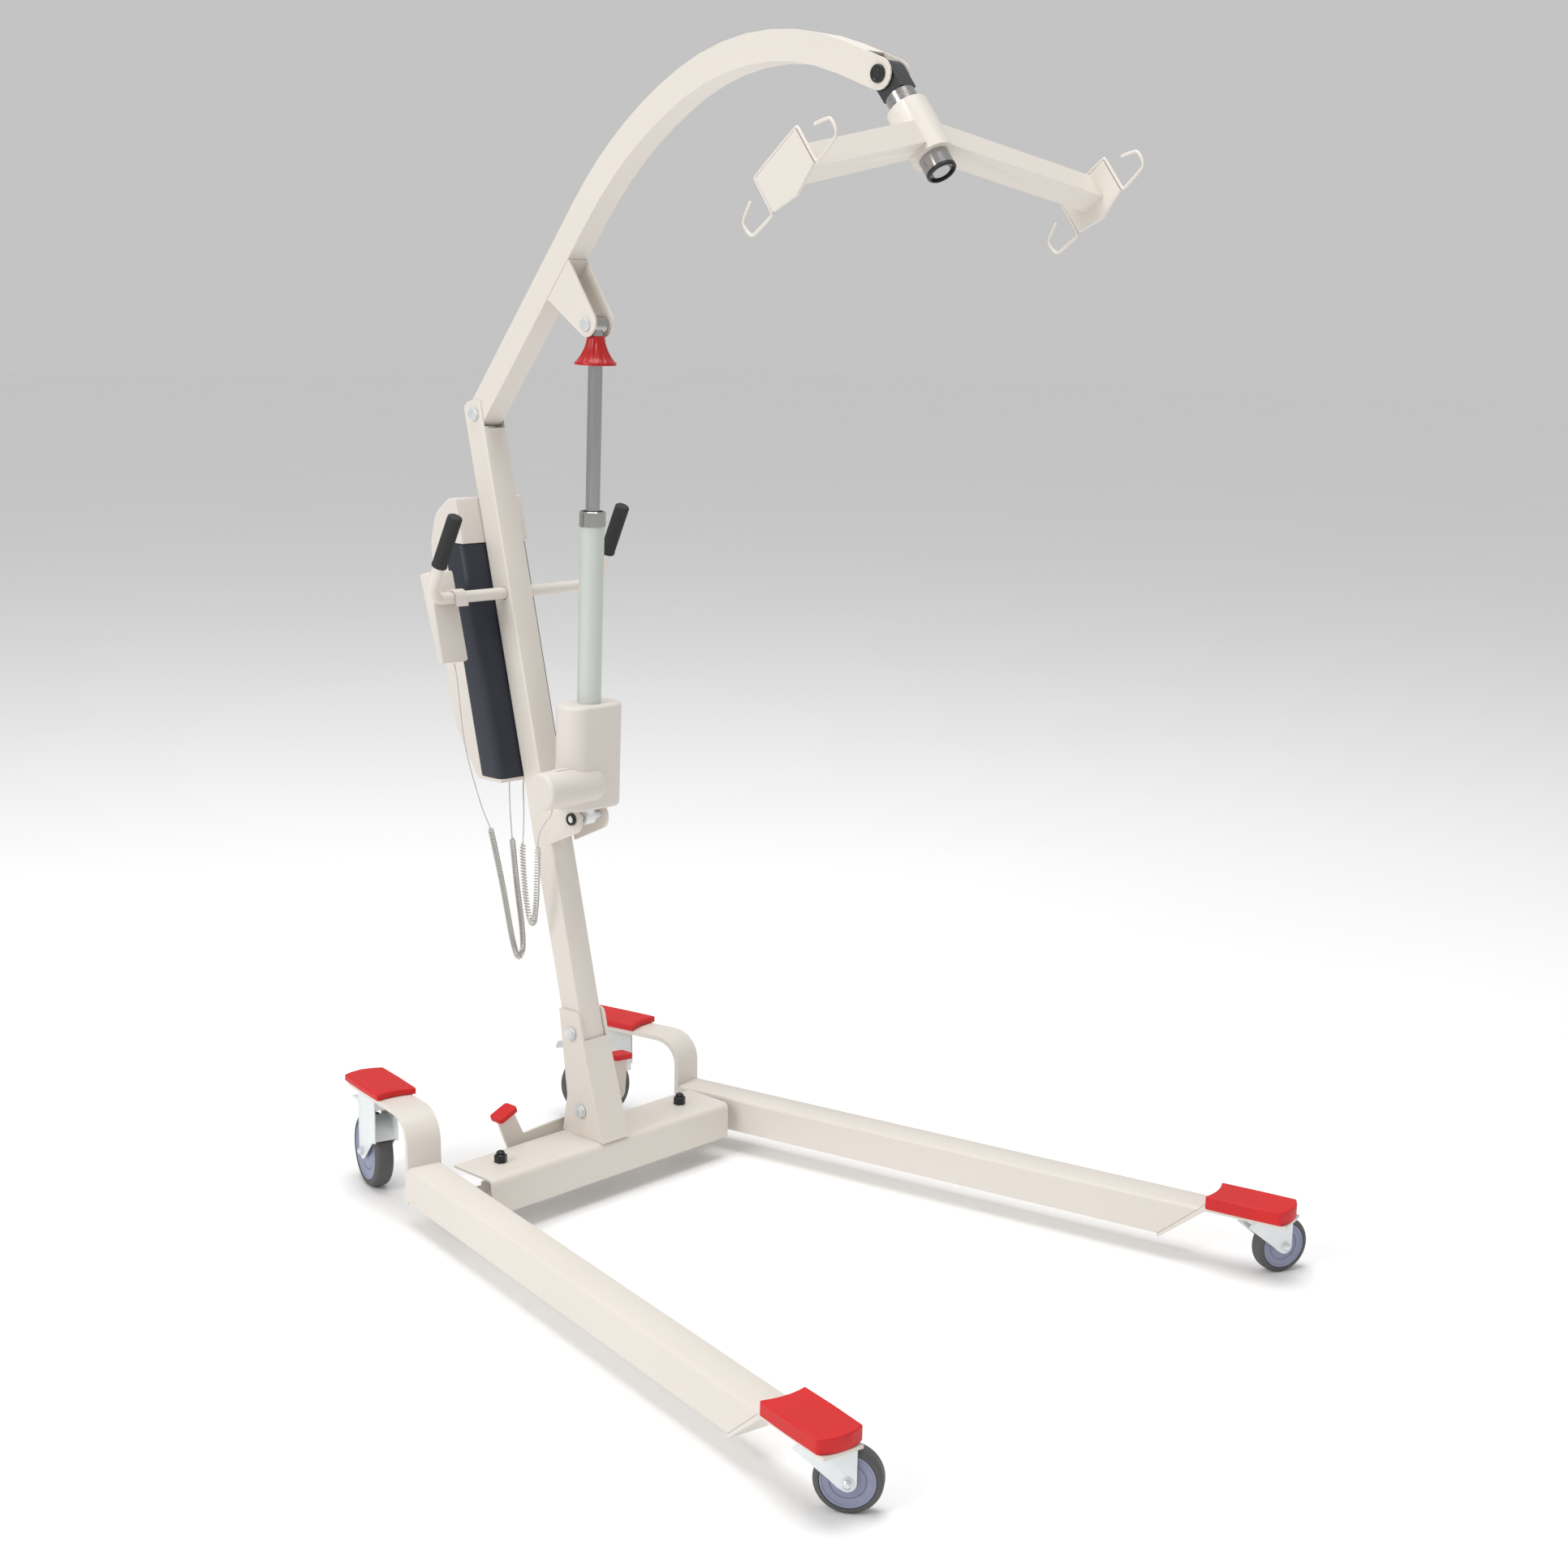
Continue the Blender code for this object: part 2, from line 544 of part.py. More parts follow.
def tie_rod(name, root, side):
    """Link from a leg's pin to a crank pin of the rocker, with a loose hole at each end."""
    lean, turn = SPLAY / 2, ROCKER_TURN / 2
    pin = Vector((side * (LEG_PIVOT[0] - LINK_PIN * sin(lean)), LEG_PIVOT[1] + LINK_PIN * cos(lean), 0.0662))
    crank = Vector((-side * CRANK * sin(turn), pin.y, ROCKER_PIVOT[1] + side * CRANK * cos(turn)))
    way = (crank - pin).normalized()
    bar = rod(name, root, pin + way * 0.007, crank - way * 0.006, 0.0028, 12)
    eyes, holes = [], []
    for end, axis, radius in ((pin, Vector((0, 0, 1)), 0.008), (crank, Vector((0, 1, 0)), 0.0072)):
        eyes.append(rod("eye", root, end - axis * 0.003, end + axis * 0.003, radius, 20))
        holes.append(rod("eye_hole", root, end - axis * 0.01, end + axis * 0.01, 0.0047, 16))
    return paint(cut(join(bar, *eyes), *holes), ZINC)


# ---- mast ----

def in_mast(y, z):
    """A point of the side view in the mast's own (depth, height)."""
    dy, dz = y - MAST_FOOT[0], z - MAST_FOOT[1]
    return dy * cos(MAST_LEAN) - dz * sin(MAST_LEAN), dy * sin(MAST_LEAN) + dz * cos(MAST_LEAN)


def mast(stand):
    """Square tube whose sides run on as two ears round the boom's pivot."""
    pivot_y, pivot_z = in_mast(*BOOM_PIVOT)
    top = pivot_z + 0.0235
    tube = plate("mast", stand, XY, rectangle(MAST_HALF_X, MAST_HALF_Y, 0.004), 0.006, top,
                 [rectangle(MAST_HALF_X - MAST_WALL, MAST_HALF_Y - 0.003, 0.0015)])
    shape = rounded([(-0.03, 0), (0.03, 0), (0.03, pivot_z - 0.02), (pivot_y + 0.027, top, 0.022),
                     (pivot_y - 0.0235, top, 0.022), (-0.03, pivot_z - 0.02)], 6)
    ears = plate("ears", stand, YZ, shape, -0.04, 0.04)
    slot = box("slot", stand, (-0.0214, -0.05, pivot_z - 0.027), (0.0214, 0.05, top + 0.01))
    holes = [rod("hole", stand, (-0.05, *in_mast(*at)), (0.05, *in_mast(*at)), radius)
             for at, radius in ((BOOM_PIVOT, 0.0083), (BAR, BAR_RADIUS + GAP),
                                (SOCKET_BOLTS[0], 0.0054), (SOCKET_BOLTS[1], 0.0054))]
    return paint(cut(combine(tube, [ears], "INTERSECT"), slot, *holes), CREAM)


def cross_pin(name, parent, at, radius, reach, head, look, thick=0.004):
    """A pin along X with a round head at each end, outside reach."""
    profile = [(0, reach + thick), (head - 0.001, reach + thick), (head, reach + thick - 0.001),
               (head, reach + GAP), (radius, reach + GAP), (radius, -reach - GAP), (head, -reach - GAP),
               (head, 0.001 - reach - thick), (head - 0.001, -reach - thick), (0, -reach - thick)]
    return paint(smooth(turned(name, parent, profile, (0, *at), (0, pi / 2, 0), 16)), look)


def lower_bracket(root):
    """Folded bracket on the front of the mast that carries the actuator's lower pin."""
    front = [(-0.1057 + (z - 0.258) * 0.2488 - GAP * 1.5, z) for z in (0.589, 0.655)]
    pin_y, pin_z = LOWER_PIN
    side = rounded([front[0], front[1], (pin_y - 0.018, pin_z + 0.018, 0.0175),
                    (pin_y - 0.018, pin_z - 0.018, 0.0175), (pin_y + 0.012, pin_z - 0.032, 0.02)], 6)
    bracket = plate("lower_bracket", root, YZ, side, -0.032, 0.032, [circle(*LOWER_PIN, 0.0063, 16)])
    web = 0.005
    inside = [(front[0][0] - web, 0.56), (front[1][0] - web + 0.008, 0.69), (-0.15, 0.69), (-0.15, 0.56)]
    space = plate("bracket_space", root, YZ, inside, -0.0255, 0.0255)
    return paint(cut(bracket, space), CREAM)


# ---- boom ----

def boom_path(offset, count=7):
    """Points along the boom at an offset above its middle line, from the pivot to the tip bolt."""
    y, z, heading = 0.0, 0.0, BOOM_RISE
    points = []

    def step(length):
        nonlocal y, z
        y -= length * cos(heading)
        z += length * sin(heading)

    def mark():
        points.append((y + offset * sin(heading), z + offset * cos(heading)))

    mark()
    step(BOOM_STRAIGHT)
    mark()
    for radius, angle in BOOM_BENDS:
        for _ in range(count):
            heading -= angle / count / 2
            step(2 * radius * sin(angle / count / 2))
            heading -= angle / count / 2
            mark()
    step(BOOM_TIP)
    mark()
    return points, (y, z), heading


def boom(hinge):
    """Curved rectangular tube, rounded at the pivot and cut open at its tip for the swivel block."""
    upper, tip, heading = boom_path(BOOM_HALF_DEPTH)
    lower, _, _ = boom_path(-BOOM_HALF_DEPTH)
    start = arc((0, 0), BOOM_HALF_DEPTH, 1.5 * pi - BOOM_RISE, 2.5 * pi - BOOM_RISE, 8)
    nose = arc(tip, BOOM_HALF_DEPTH, pi / 2 - heading, 3 * pi / 2 - heading, 8)
    outline = [*upper, *nose[1:-1], *lower[::-1], *start[1:-1]]
    tube = plate("boom", hinge, YZ, outline, -BOOM_HALF_X, BOOM_HALF_X,
                 [circle(0, 0, 0.0083), circle(*tip, 0.0083)])
    depth = BOOM_HALF_DEPTH - BOOM_WALL
    roof, _, _ = boom_path(depth)
    floor, _, _ = boom_path(-depth)
    ahead = Vector((-cos(heading), sin(heading)))
    up = Vector((sin(heading), cos(heading)))
    back_of_mouth = Vector(tip) - ahead * 0.034
    mouth = [back_of_mouth + up * depth, back_of_mouth + up * 0.04, back_of_mouth + up * 0.04 + ahead * 0.08,
             back_of_mouth - up * 0.04 + ahead * 0.08, back_of_mouth - up * 0.04, back_of_mouth - up * depth]
    behind = Vector((cos(BOOM_RISE), -sin(BOOM_RISE))) * 0.04
    tail = [Vector(floor[0]) + behind, Vector(roof[0]) + behind]
    inside = [*roof[1:-1], *map(tuple, mouth), *floor[-2:0:-1], *map(tuple, tail)]
    hollow = plate("boom_hollow", hinge, YZ, inside, BOOM_WALL - BOOM_HALF_X, BOOM_HALF_X - BOOM_WALL)
    return paint(cut(tube, hollow), CREAM)


def on_boom(along, below):
    """A point at a distance along the boom's straight and below its middle line."""
    return (-along * cos(BOOM_RISE) - below * sin(BOOM_RISE),
            along * sin(BOOM_RISE) - below * cos(BOOM_RISE))


def upper_pin_place():
    return UPPER_PIN[0] - BOOM_PIVOT[0], UPPER_PIN[1] - BOOM_PIVOT[1]


def boom_bracket(hinge):
    """Folded bracket under the boom that holds the actuator's upper pin."""
    y, z = upper_pin_place()
    along = -y * cos(BOOM_RISE) + z * sin(BOOM_RISE)
    below = -y * sin(BOOM_RISE) - z * cos(BOOM_RISE)
    base = BOOM_HALF_DEPTH + GAP
    corners = ((0.2585, base), (0.3385, base), (along + 0.018, below + 0.018, 0.0175),
               (along - 0.018, below + 0.018, 0.0175))
    outline = rounded([(*on_boom(*corner[:2]), *corner[2:]) for corner in corners], 6)
    bracket = plate("boom_bracket", hinge, YZ, outline, -0.0207, 0.0207, [circle(y, z, 0.0063, 16)])
    web = base + 0.004
    inside = [on_boom(0.22, web), on_boom(0.38, web), on_boom(0.38, 0.16), on_boom(0.22, 0.16)]
    space = plate("bracket_space", hinge, YZ, inside, -0.0167, 0.0167)
    return paint(cut(bracket, space), CREAM)


# ---- actuator ----

def actuator_housing(hinge):
    """Gear housing, the motor across it and the knuckle on the lower pin."""
    body = plate("actuator_housing", hinge, XY, rectangle(0.0575, 0.033, 0.030, count=4), 0.0175, 0.191)
    body = soften(body, 0.005, 1)
    dome = [(0.031 * cos(k * pi / 8), 0.010 - 0.028 * sin(k * pi / 8)) for k in range(4)]
    profile = [(0, 0.115), (0.026, 0.115), (0.030, 0.113), (0.031, 0.109), *dome, (0, -0.018)]
    motor = turned("motor", hinge, profile, (0, -0.0145, 0.0594), (0, -pi / 2, 0), 20)
    neck = rod("neck", hinge, (0, 0, 0.002), (0, 0, 0.030), 0.010)
    eye = rod("eye", hinge, (-0.0105, 0, 0), (0.0105, 0, 0), 0.0125)
    hole = rod("pin_hole", hinge, (-0.02, 0, 0), (0.02, 0, 0), PIN_HOLE)
    return paint(cut(join(body, motor, neck, eye), hole), CREAM)


def actuator_tube(hinge):
    """Outer tube with its steel collar, open at the top for the rod."""
    profile = [(0, 0.197), (TUBE_BORE, 0.197), (TUBE_BORE, 0.502), (0.0215, 0.502), (0.0215, 0.477),
               (TUBE_RADIUS, 0.477), (TUBE_RADIUS, 0.191 + GAP), (0, 0.191 + GAP)]
    return paint(smooth(turned("actuator_tube", hinge, profile)), PALE)


def actuator_rod(hinge):
    """Rod from inside the tube to the eye on the upper pin."""
    shaft = rod("actuator_rod", hinge, (0, 0, -0.4243), (0, 0, -0.006), ROD_RADIUS, 28)
    eye = rod("rod_eye", hinge, (-0.013, 0, 0), (0.013, 0, 0), 0.0135)
    hole = rod("rod_hole", hinge, (-0.02, 0, 0), (0.02, 0, 0), PIN_HOLE)
    return paint(cut(join(shaft, eye), hole), CHROME)


def lowering_bell(hinge):
    """Red bell round the top of the rod, pulled to lower the boom without power."""
    bore = ROD_RADIUS + GAP
    outer = [(0.0138, -0.0173), (0.0150, -0.024), (0.0185, -0.034), (0.0245, -0.046), (0.0320, -0.0575),
             (0.0330, -0.0623)]
    inner = [(0.0300, -0.0623), (0.0290, -0.0575), (0.0215, -0.046), (bore, -0.036), (bore, -0.0173)]
    return paint(smooth(turned("lowering_bell", hinge, [*outer, *inner], ring=True)), RED)


# ---- spreader ----

def swivel_block(hinge):
    """Black block between the boom's cheeks; it swings on the tip bolt."""
    side = rounded([(-0.019, 0.019, 0.018), (-0.019, -0.0355), (0.019, -0.0355), (0.019, 0.019, 0.018)], 6)
    return paint(plate("swivel_block", hinge, YZ, side, -0.0155, 0.0155, [circle(0, 0, 0.0088)]), BLACK)


def swivel_post(hinge):
    """Chrome collar, shaft and lower cup that the spreader turns on."""
    profile = [(0, -0.0366), (CHROME_RADIUS, -0.0366), (CHROME_RADIUS, GAP - BOSS_TOP),
               (POST_RADIUS, GAP - BOSS_TOP), (POST_RADIUS, -BOSS_BOTTOM - GAP),
               (CHROME_RADIUS, -BOSS_BOTTOM - GAP), (CHROME_RADIUS, -0.168), (0.0195, -0.171), (0, -0.171)]
    return paint(smooth(turned("swivel_post", hinge, profile)), CHROME)


def spreader_bar(spin):
    """Boss, two drooping square arms and a hook plate across each end."""
    end = HOOK_PLATE_X - 0.003
    arms = [(-end, -0.168), (0, -0.0908), (end, -0.168), (end, -0.205), (0, -0.1278), (-end, -0.205)]
    bar = plate("spreader_bar", spin, XZ, arms, -0.0178, 0.0178)
    boss = rod("boss", spin, (0, 0, -BOSS_TOP), (0, 0, -BOSS_BOTTOM), BOSS_RADIUS, 40)
    half = HOOK_PLATE_HALF
    outline = [(-half, -0.163), (-half, -0.2166), (0, -0.2277), (half, -0.2166), (half, -0.163)]
    inner, outer = HOOK_PLATE_X - 0.005, HOOK_PLATE_X
    plates = [plate("hook_plate", spin, YZ, outline, low, high)
              for low, high in ((-outer, -inner), (inner, outer))]
    bore = rod("bore", spin, (0, 0, -0.05), (0, 0, -0.16), POST_BORE)
    return paint(cut(join(bar, boss, *plates), bore), CREAM)


def hook_wire(name, spin, side):
    """Round wire along three edges of a hook plate that curls out into a hook at each end."""
    x = side * (HOOK_PLATE_X - 0.0025)
    edge = HOOK_PLATE_HALF + 0.0029
    half = [(0.0710, -0.1780), (0.0995, -0.1900), (0.0985, -0.2160), (edge, -0.2185), (edge, -0.1601)]
    corners = [(x, y, z) for y, z in half] + [(x, -y, z) for y, z in half[::-1]]
    radii = (0.009, 0.009, 0.0034, 0.0034)
    return paint(wire(name, spin, bent(corners, [*radii, *radii[::-1]], 2), 0.0025), CREAM)


# ---- handle bar, hand control and power pack ----

def handle_end(side, share):
    """A point on the bar's rising end, from its bend to the tip of the grip."""
    bend, tip = Vector((0.182, *BAR)), Vector((0.179, 0.027, 1.1363))
    x, y, z = bend.lerp(tip, share)
    return Vector((side * x, y, z))


def handle_bar(root):
    """Bar through the mast, both ends bent up towards the grips."""
    corners = [handle_end(1, 0.85), handle_end(1, 0), handle_end(-1, 0), handle_end(-1, 0.85)]
    return paint(wire("handle_bar", root, bent(corners, (0.030, 0.030)), BAR_RADIUS, 3), CREAM)


def grip(name, root, side):
    """Sleeve over an end of the bar, closed at the top."""
    start = handle_end(side, 0.408)
    way = handle_end(side, 1) - start
    bore = BAR_RADIUS + GAP
    length = way.length
    profile = [(0, length), (GRIP_RADIUS - 0.002, length), (GRIP_RADIUS, length - 0.002), (GRIP_RADIUS, 0),
               (bore, 0), (bore, length - 0.015), (0, length - 0.015)]
    turn = way.to_track_quat("Z", "Y").to_euler()
    return paint(smooth(turned(name, root, profile, start, turn, 24)), BLACK)


def behind_mast(depth, z):
    """A side-view point at a depth behind the mast's rear face."""
    return -0.1057 + (z - 0.258) * 0.2488 + 0.047 + depth, z


def control_box(root):
    """Shell behind the battery that also caps it and runs under it."""
    front = 0.0006
    corners = [(front, BATTERY_TOP + GAP), (front, 1.150, 0.004), (0.020, 1.150, 0.02), (0.062, 1.122, 0.03),
               (0.088, 1.070, 0.05), (0.103, 0.850, 0.12), (0.101, 0.772, 0.04), (0.064, 0.687, 0.012),
               (front, 0.687, 0.003), (front, BATTERY_FOOT - GAP), (0.0506, BATTERY_FOOT - GAP),
               (0.0506, BATTERY_TOP + GAP)]
    outline = rounded([(*behind_mast(*corner[:2]), *corner[2:]) for corner in corners], 2)
    shell = plate("control_box", root, YZ, outline, -0.070, 0.070)
    return paint(smooth(soften(shell, 0.008, 1)), CREAM)


def battery(root):
    corners = [(0.0008, BATTERY_FOOT), (0.0008, BATTERY_TOP), (0.0502, BATTERY_TOP), (0.0502, BATTERY_FOOT)]
    pack = plate("battery", root, YZ, [behind_mast(*corner) for corner in corners], -0.063, 0.063)
    return paint(smooth(soften(pack, 0.005, 2)), NAVY)


def pendant(stand):
    """Tapered hand control with a hook over the bar and two button pockets on the operator's side."""
    bm = bmesh.new()
    bmesh.ops.create_cube(bm, size=1)
    for vert in bm.verts:
        high = vert.co.z > 0
        vert.co.x *= 0.050 if high else 0.0545
        vert.co.y = 0.0112 if vert.co.y < 0 else (PENDANT_BACK_TOP if high else PENDANT_BACK_FOOT)
        vert.co.z = PENDANT_TOP if high else PENDANT_FOOT
    body = soften(from_bmesh("pendant", bm, stand), 0.004, 2)
    inner, outer = BAR_RADIUS + 0.0006, BAR_RADIUS + 0.0036
    hook = [*arc((0, 0), outer, pi, 0, 10), (0.018, 0.0), (0.018, -0.006), (inner, -0.006),
            *arc((0, 0), inner, 0, pi, 10), (-inner, -0.016), (-outer, -0.016)]
    arch = plate("hook", stand, YZ, hook, 0.003, 0.025)
    pockets = [rod("pocket", stand, *button_ends(z, -0.006, 0.02), BUTTON_RADIUS + 0.0005) for z in BUTTONS]
    return paint(cut(join(body, arch), *pockets), CREAM)


def button_ends(z, low, high):
    """Two points on a button's axis, measured out of the sloping rear face of the hand control."""
    face = Vector((0, PENDANT_BACK_FOOT + (z - PENDANT_FOOT) * tan(BUTTON_LEAN), z))
    out = Vector((0, cos(BUTTON_LEAN), -sin(BUTTON_LEAN)))
    return face + out * low, face + out * high


def button(name, stand, z, look):
    return paint(rod(name, stand, *button_ends(z, -0.0035, 0.002), BUTTON_RADIUS), look)


# ---- cords ----

def cords(root):
    """Two curly cords: each a coil with a plain lead at either end."""
    for name, route in (("pendant_cord_lead", PENDANT_LEAD), ("pendant_cord_tail", PENDANT_TAIL),
                        ("actuator_cord_tail", ACTUATOR_TAIL), ("actuator_cord_lead", ACTUATOR_LEAD)):
        paint(wire(name, root, smooth_route(route, 4), CORD_RADIUS), CORD_GREY)
    for name, route in (("pendant_cord_coil", PENDANT_COIL), ("actuator_cord_coil", ACTUATOR_COIL)):
        paint(wire(name, root, smooth_route(route, 3), COIL_RADIUS), CORD_GREY)


# ---- the whole lift ----

def build_base(root):
    crossbeam(root)
    mast_socket(root)
    hex_bolt("socket_bolt_upper", root, SOCKET_BOLTS[0], 0.029)
    hex_bolt("socket_bolt_lower", root, SOCKET_BOLTS[1], 0.029)
    for word, side in (("right", -1), ("left", 1)):
        leg_bolt("leg_bolt_" + word, root, side)
        pivot = (side * LEG_PIVOT[0], LEG_PIVOT[1], 0)
        hinge = frame("leg_hinge_" + word, root, pivot, (0, 0, side * SPLAY))
        leg("leg_" + word, hinge, side)
        caster_plate("caster_plate_" + word, hinge, side)
        cap("front_cap_" + word, hinge, side, LEG_REAR - 1.0045, 0.123, 0.100, 0.122, False)
        cap("rear_cap_" + word, hinge, side, LEG_REAR + 0.097, 0.125, ARCH_TOP + 0.0004, 0.195, True)
        caster("front_" + word, hinge, side, FRONT_CASTER, False)
        caster("rear_" + word, hinge, side, REAR_CASTER, True)
        tie_rod("tie_rod_" + word, root, side)
    pivot = frame("pedal_pivot", root, (0, *ROCKER_PIVOT), (0, -ROCKER_TURN / 2, 0))
    pedal_rocker(pivot)
    pedal_pad("pedal_pad_right", pivot, -1)
    pedal_pad("pedal_pad_left", pivot, 1)


def build_mast(root):
    stand = frame("mast_stand", root, (0, *MAST_FOOT), (-MAST_LEAN, 0, 0))
    mast(stand)
    lower_bracket(root)
    cross_pin("boom_bolt", root, BOOM_PIVOT, 0.008, MAST_HALF_X, 0.0125, ZINC)
    cross_pin("lower_pin", root, LOWER_PIN, PIN_RADIUS, 0.032, 0.010, BLACK, 0.006)
    handle_bar(root)
    grip("grip_right", root, -1)
    grip("grip_left", root, 1)
    control_box(root)
    battery(root)
    hang = frame("pendant_hang", root, (PENDANT_X, *BAR), (-MAST_LEAN, 0, 0))
    pendant(hang)
    button("button_up", hang, BUTTONS[0], NAVY)
    button("button_down", hang, BUTTONS[1], BLACK)
    cords(root)


def build_boom(root):
    hinge = frame("boom_hinge", root, (0, *BOOM_PIVOT))
    boom(hinge)
    boom_bracket(hinge)
    place = upper_pin_place()
    cross_pin("upper_pin", hinge, place, PIN_RADIUS, 0.0207, 0.010, ZINC, 0.006)
    rod_hinge = frame("rod_hinge", hinge, (0, *place), (ACTUATOR_TILT, 0, 0))
    actuator_rod(rod_hinge)
    lowering_bell(rod_hinge)
    tube_hinge = frame("actuator_hinge", root, (0, *LOWER_PIN), (ACTUATOR_TILT, 0, 0))
    actuator_housing(tube_hinge)
    actuator_tube(tube_hinge)
    _, tip, _ = boom_path(0)
    cross_pin("swivel_pin", hinge, tip, 0.008, BOOM_HALF_X, 0.0125, BLACK)
    swing = frame("hanger_swing", hinge, (0, *tip), (-HANGER_TILT, 0, 0))
    swivel_block(swing)
    lean = frame("hanger_lean", swing, (0, 0, 0), (0, HANGER_LEAN, 0))
    swivel_post(lean)
    spin = frame("spreader_spin", lean, (0, 0, 0), (0, 0, -SPREADER_TURN))
    spreader_bar(spin)
    hook_wire("hook_wire_right", spin, -1)
    hook_wire("hook_wire_left", spin, 1)


clear_scene()
PARTS = collection("patient_lift")
CUTTERS = collection("cutters")
ROOT = frame("lift", None, (SIDESTEP, SETBACK, 0))
build_base(ROOT)
build_mast(ROOT)
build_boom(ROOT)
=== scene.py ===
# %% [markdown]
# # A floor lift, from its frame to its finish
#
# The lift stands on a splayed base. A mast leans forward from the base, a curved boom turns on top of
# the mast, and an electric actuator pushes the boom up. The shapes that move and carry load come
# ready-made as a fixed frame. This lesson adds what the eye notices: rounded edges, turned parts,
# curly cords, paint, plastic, rubber and plated steel.

import json
from math import atan2, ceil, cos, pi, radians, sin

import bmesh
import bpy
from mathutils import Matrix, Vector

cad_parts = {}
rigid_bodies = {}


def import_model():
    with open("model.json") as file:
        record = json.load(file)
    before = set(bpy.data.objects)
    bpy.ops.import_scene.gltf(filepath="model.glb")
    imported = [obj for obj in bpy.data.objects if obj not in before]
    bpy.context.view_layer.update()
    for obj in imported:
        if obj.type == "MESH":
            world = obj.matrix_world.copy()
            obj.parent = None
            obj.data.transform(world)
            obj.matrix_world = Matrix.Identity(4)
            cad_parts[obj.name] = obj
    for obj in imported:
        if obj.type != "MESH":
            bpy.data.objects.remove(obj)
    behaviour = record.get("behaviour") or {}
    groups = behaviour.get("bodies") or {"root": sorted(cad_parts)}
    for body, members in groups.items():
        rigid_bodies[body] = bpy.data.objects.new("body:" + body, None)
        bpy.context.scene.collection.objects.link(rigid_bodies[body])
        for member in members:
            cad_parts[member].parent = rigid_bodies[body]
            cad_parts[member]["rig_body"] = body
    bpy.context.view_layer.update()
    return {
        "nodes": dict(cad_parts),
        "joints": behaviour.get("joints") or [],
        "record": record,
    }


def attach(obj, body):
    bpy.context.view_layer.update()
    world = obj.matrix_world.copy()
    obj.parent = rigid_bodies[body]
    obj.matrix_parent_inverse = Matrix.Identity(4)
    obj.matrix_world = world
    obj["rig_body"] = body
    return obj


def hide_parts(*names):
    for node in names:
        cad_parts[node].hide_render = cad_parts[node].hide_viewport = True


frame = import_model()
NODES = frame["nodes"]
JOINTS = {joint["name"]: joint for joint in frame["joints"]}

# %% [markdown]
# ## The places everything is measured from
#
# The joints already say where the pins, axles and pivots are, so most places are read from them. The
# lift was drawn with its mast near the origin and then set back, and `place` does the same step for
# the few points that no joint has.

# %% Places
SIDESTEP, SETBACK = -0.008, 0.459


def place(x, y, z):
    """A point of the lift's own drawing as a point of the scene."""
    return Vector((x + SIDESTEP, y + SETBACK, z))


def pivot(joint):
    return Vector(JOINTS[joint]["pos_m"])


def axis_of(joint):
    return Vector(JOINTS[joint]["axis"])


def standing(origin, up, side=Vector((1, 0, 0))):
    """A placing matrix: its Z runs along up, and its X stays as near side as it can."""
    z = Vector(up).normalized()
    x = (side - z * side.dot(z)).normalized()
    turn = Matrix((x, z.cross(x), z)).transposed()
    return Matrix.Translation(origin) @ turn.to_4x4()


LOWER_PIN, UPPER_PIN = pivot("actuator_pivot"), pivot("actuator_rod_pivot")
ACTUATOR = standing(LOWER_PIN, UPPER_PIN - LOWER_PIN)
HANGER = standing(pivot("spreader_spin"), axis_of("spreader_spin"))
print("actuator is", round((UPPER_PIN - LOWER_PIN).length, 3), "m between its pins")

# %% [markdown]
# ## Camera
#
# The lift is seen from its front, on the operator's right, at the height of a standing eye. A camera
# looks along its own -Z, so the matrix is built from the three directions it needs: back, right and
# up. A small roll turns the last two about the first.

# %% Camera
CAMERA_PLACE = Vector((-2.4633, -2.3742, 1.4642))
HEADING, LIFT, ROLL = radians(-46.8), radians(11.7), radians(1.1)

back = Vector((sin(HEADING) * cos(LIFT), -cos(HEADING) * cos(LIFT), sin(LIFT)))
level = Vector((cos(HEADING), sin(HEADING), 0))
upright = back.cross(level)
right = cos(ROLL) * level + sin(ROLL) * upright
above = -sin(ROLL) * level + cos(ROLL) * upright
camera_data = bpy.data.cameras.new("camera")
camera_data.lens, camera_data.sensor_width = 52.47, 36
camera = bpy.data.objects.new("camera", camera_data)
camera.matrix_world = Matrix.Translation(CAMERA_PLACE) @ Matrix((right, above,
                                                                 back)).transposed().to_4x4()
bpy.context.scene.collection.objects.link(camera)
bpy.context.scene.camera = camera
print("camera", tuple(round(v, 2) for v in CAMERA_PLACE))

# %% [markdown]
# ## A material that isn't one flat colour
#
# Paint, moulded plastic and rubber differ in colour, gloss and grain, and in the size of the grain.
# One recipe serves them all: a slow noise shifts the colour and the gloss a little, as handling and
# spraying do, and a fast noise raises a fine grain. Both read Object coordinates, so the pattern
# keeps its true size on every piece.

# %% The recipe for a finish
def node_of(material, kind, **values):
    """A shader node with its settings and its input values."""
    node = material.node_tree.nodes.new(kind)
    for name, value in values.items():
        if name in node.inputs:
            node.inputs[name].default_value = value
        else:
            setattr(node, name, value)
    return node


def srgb(*levels):
    """A colour given in the 0 to 255 levels of a paint chart, as the linear values a shader mixes."""
    shares = [level / 255 for level in levels]
    return [share / 12.92 if share <= 0.04045 else ((share + 0.055) / 1.055) ** 2.4 for share in shares]


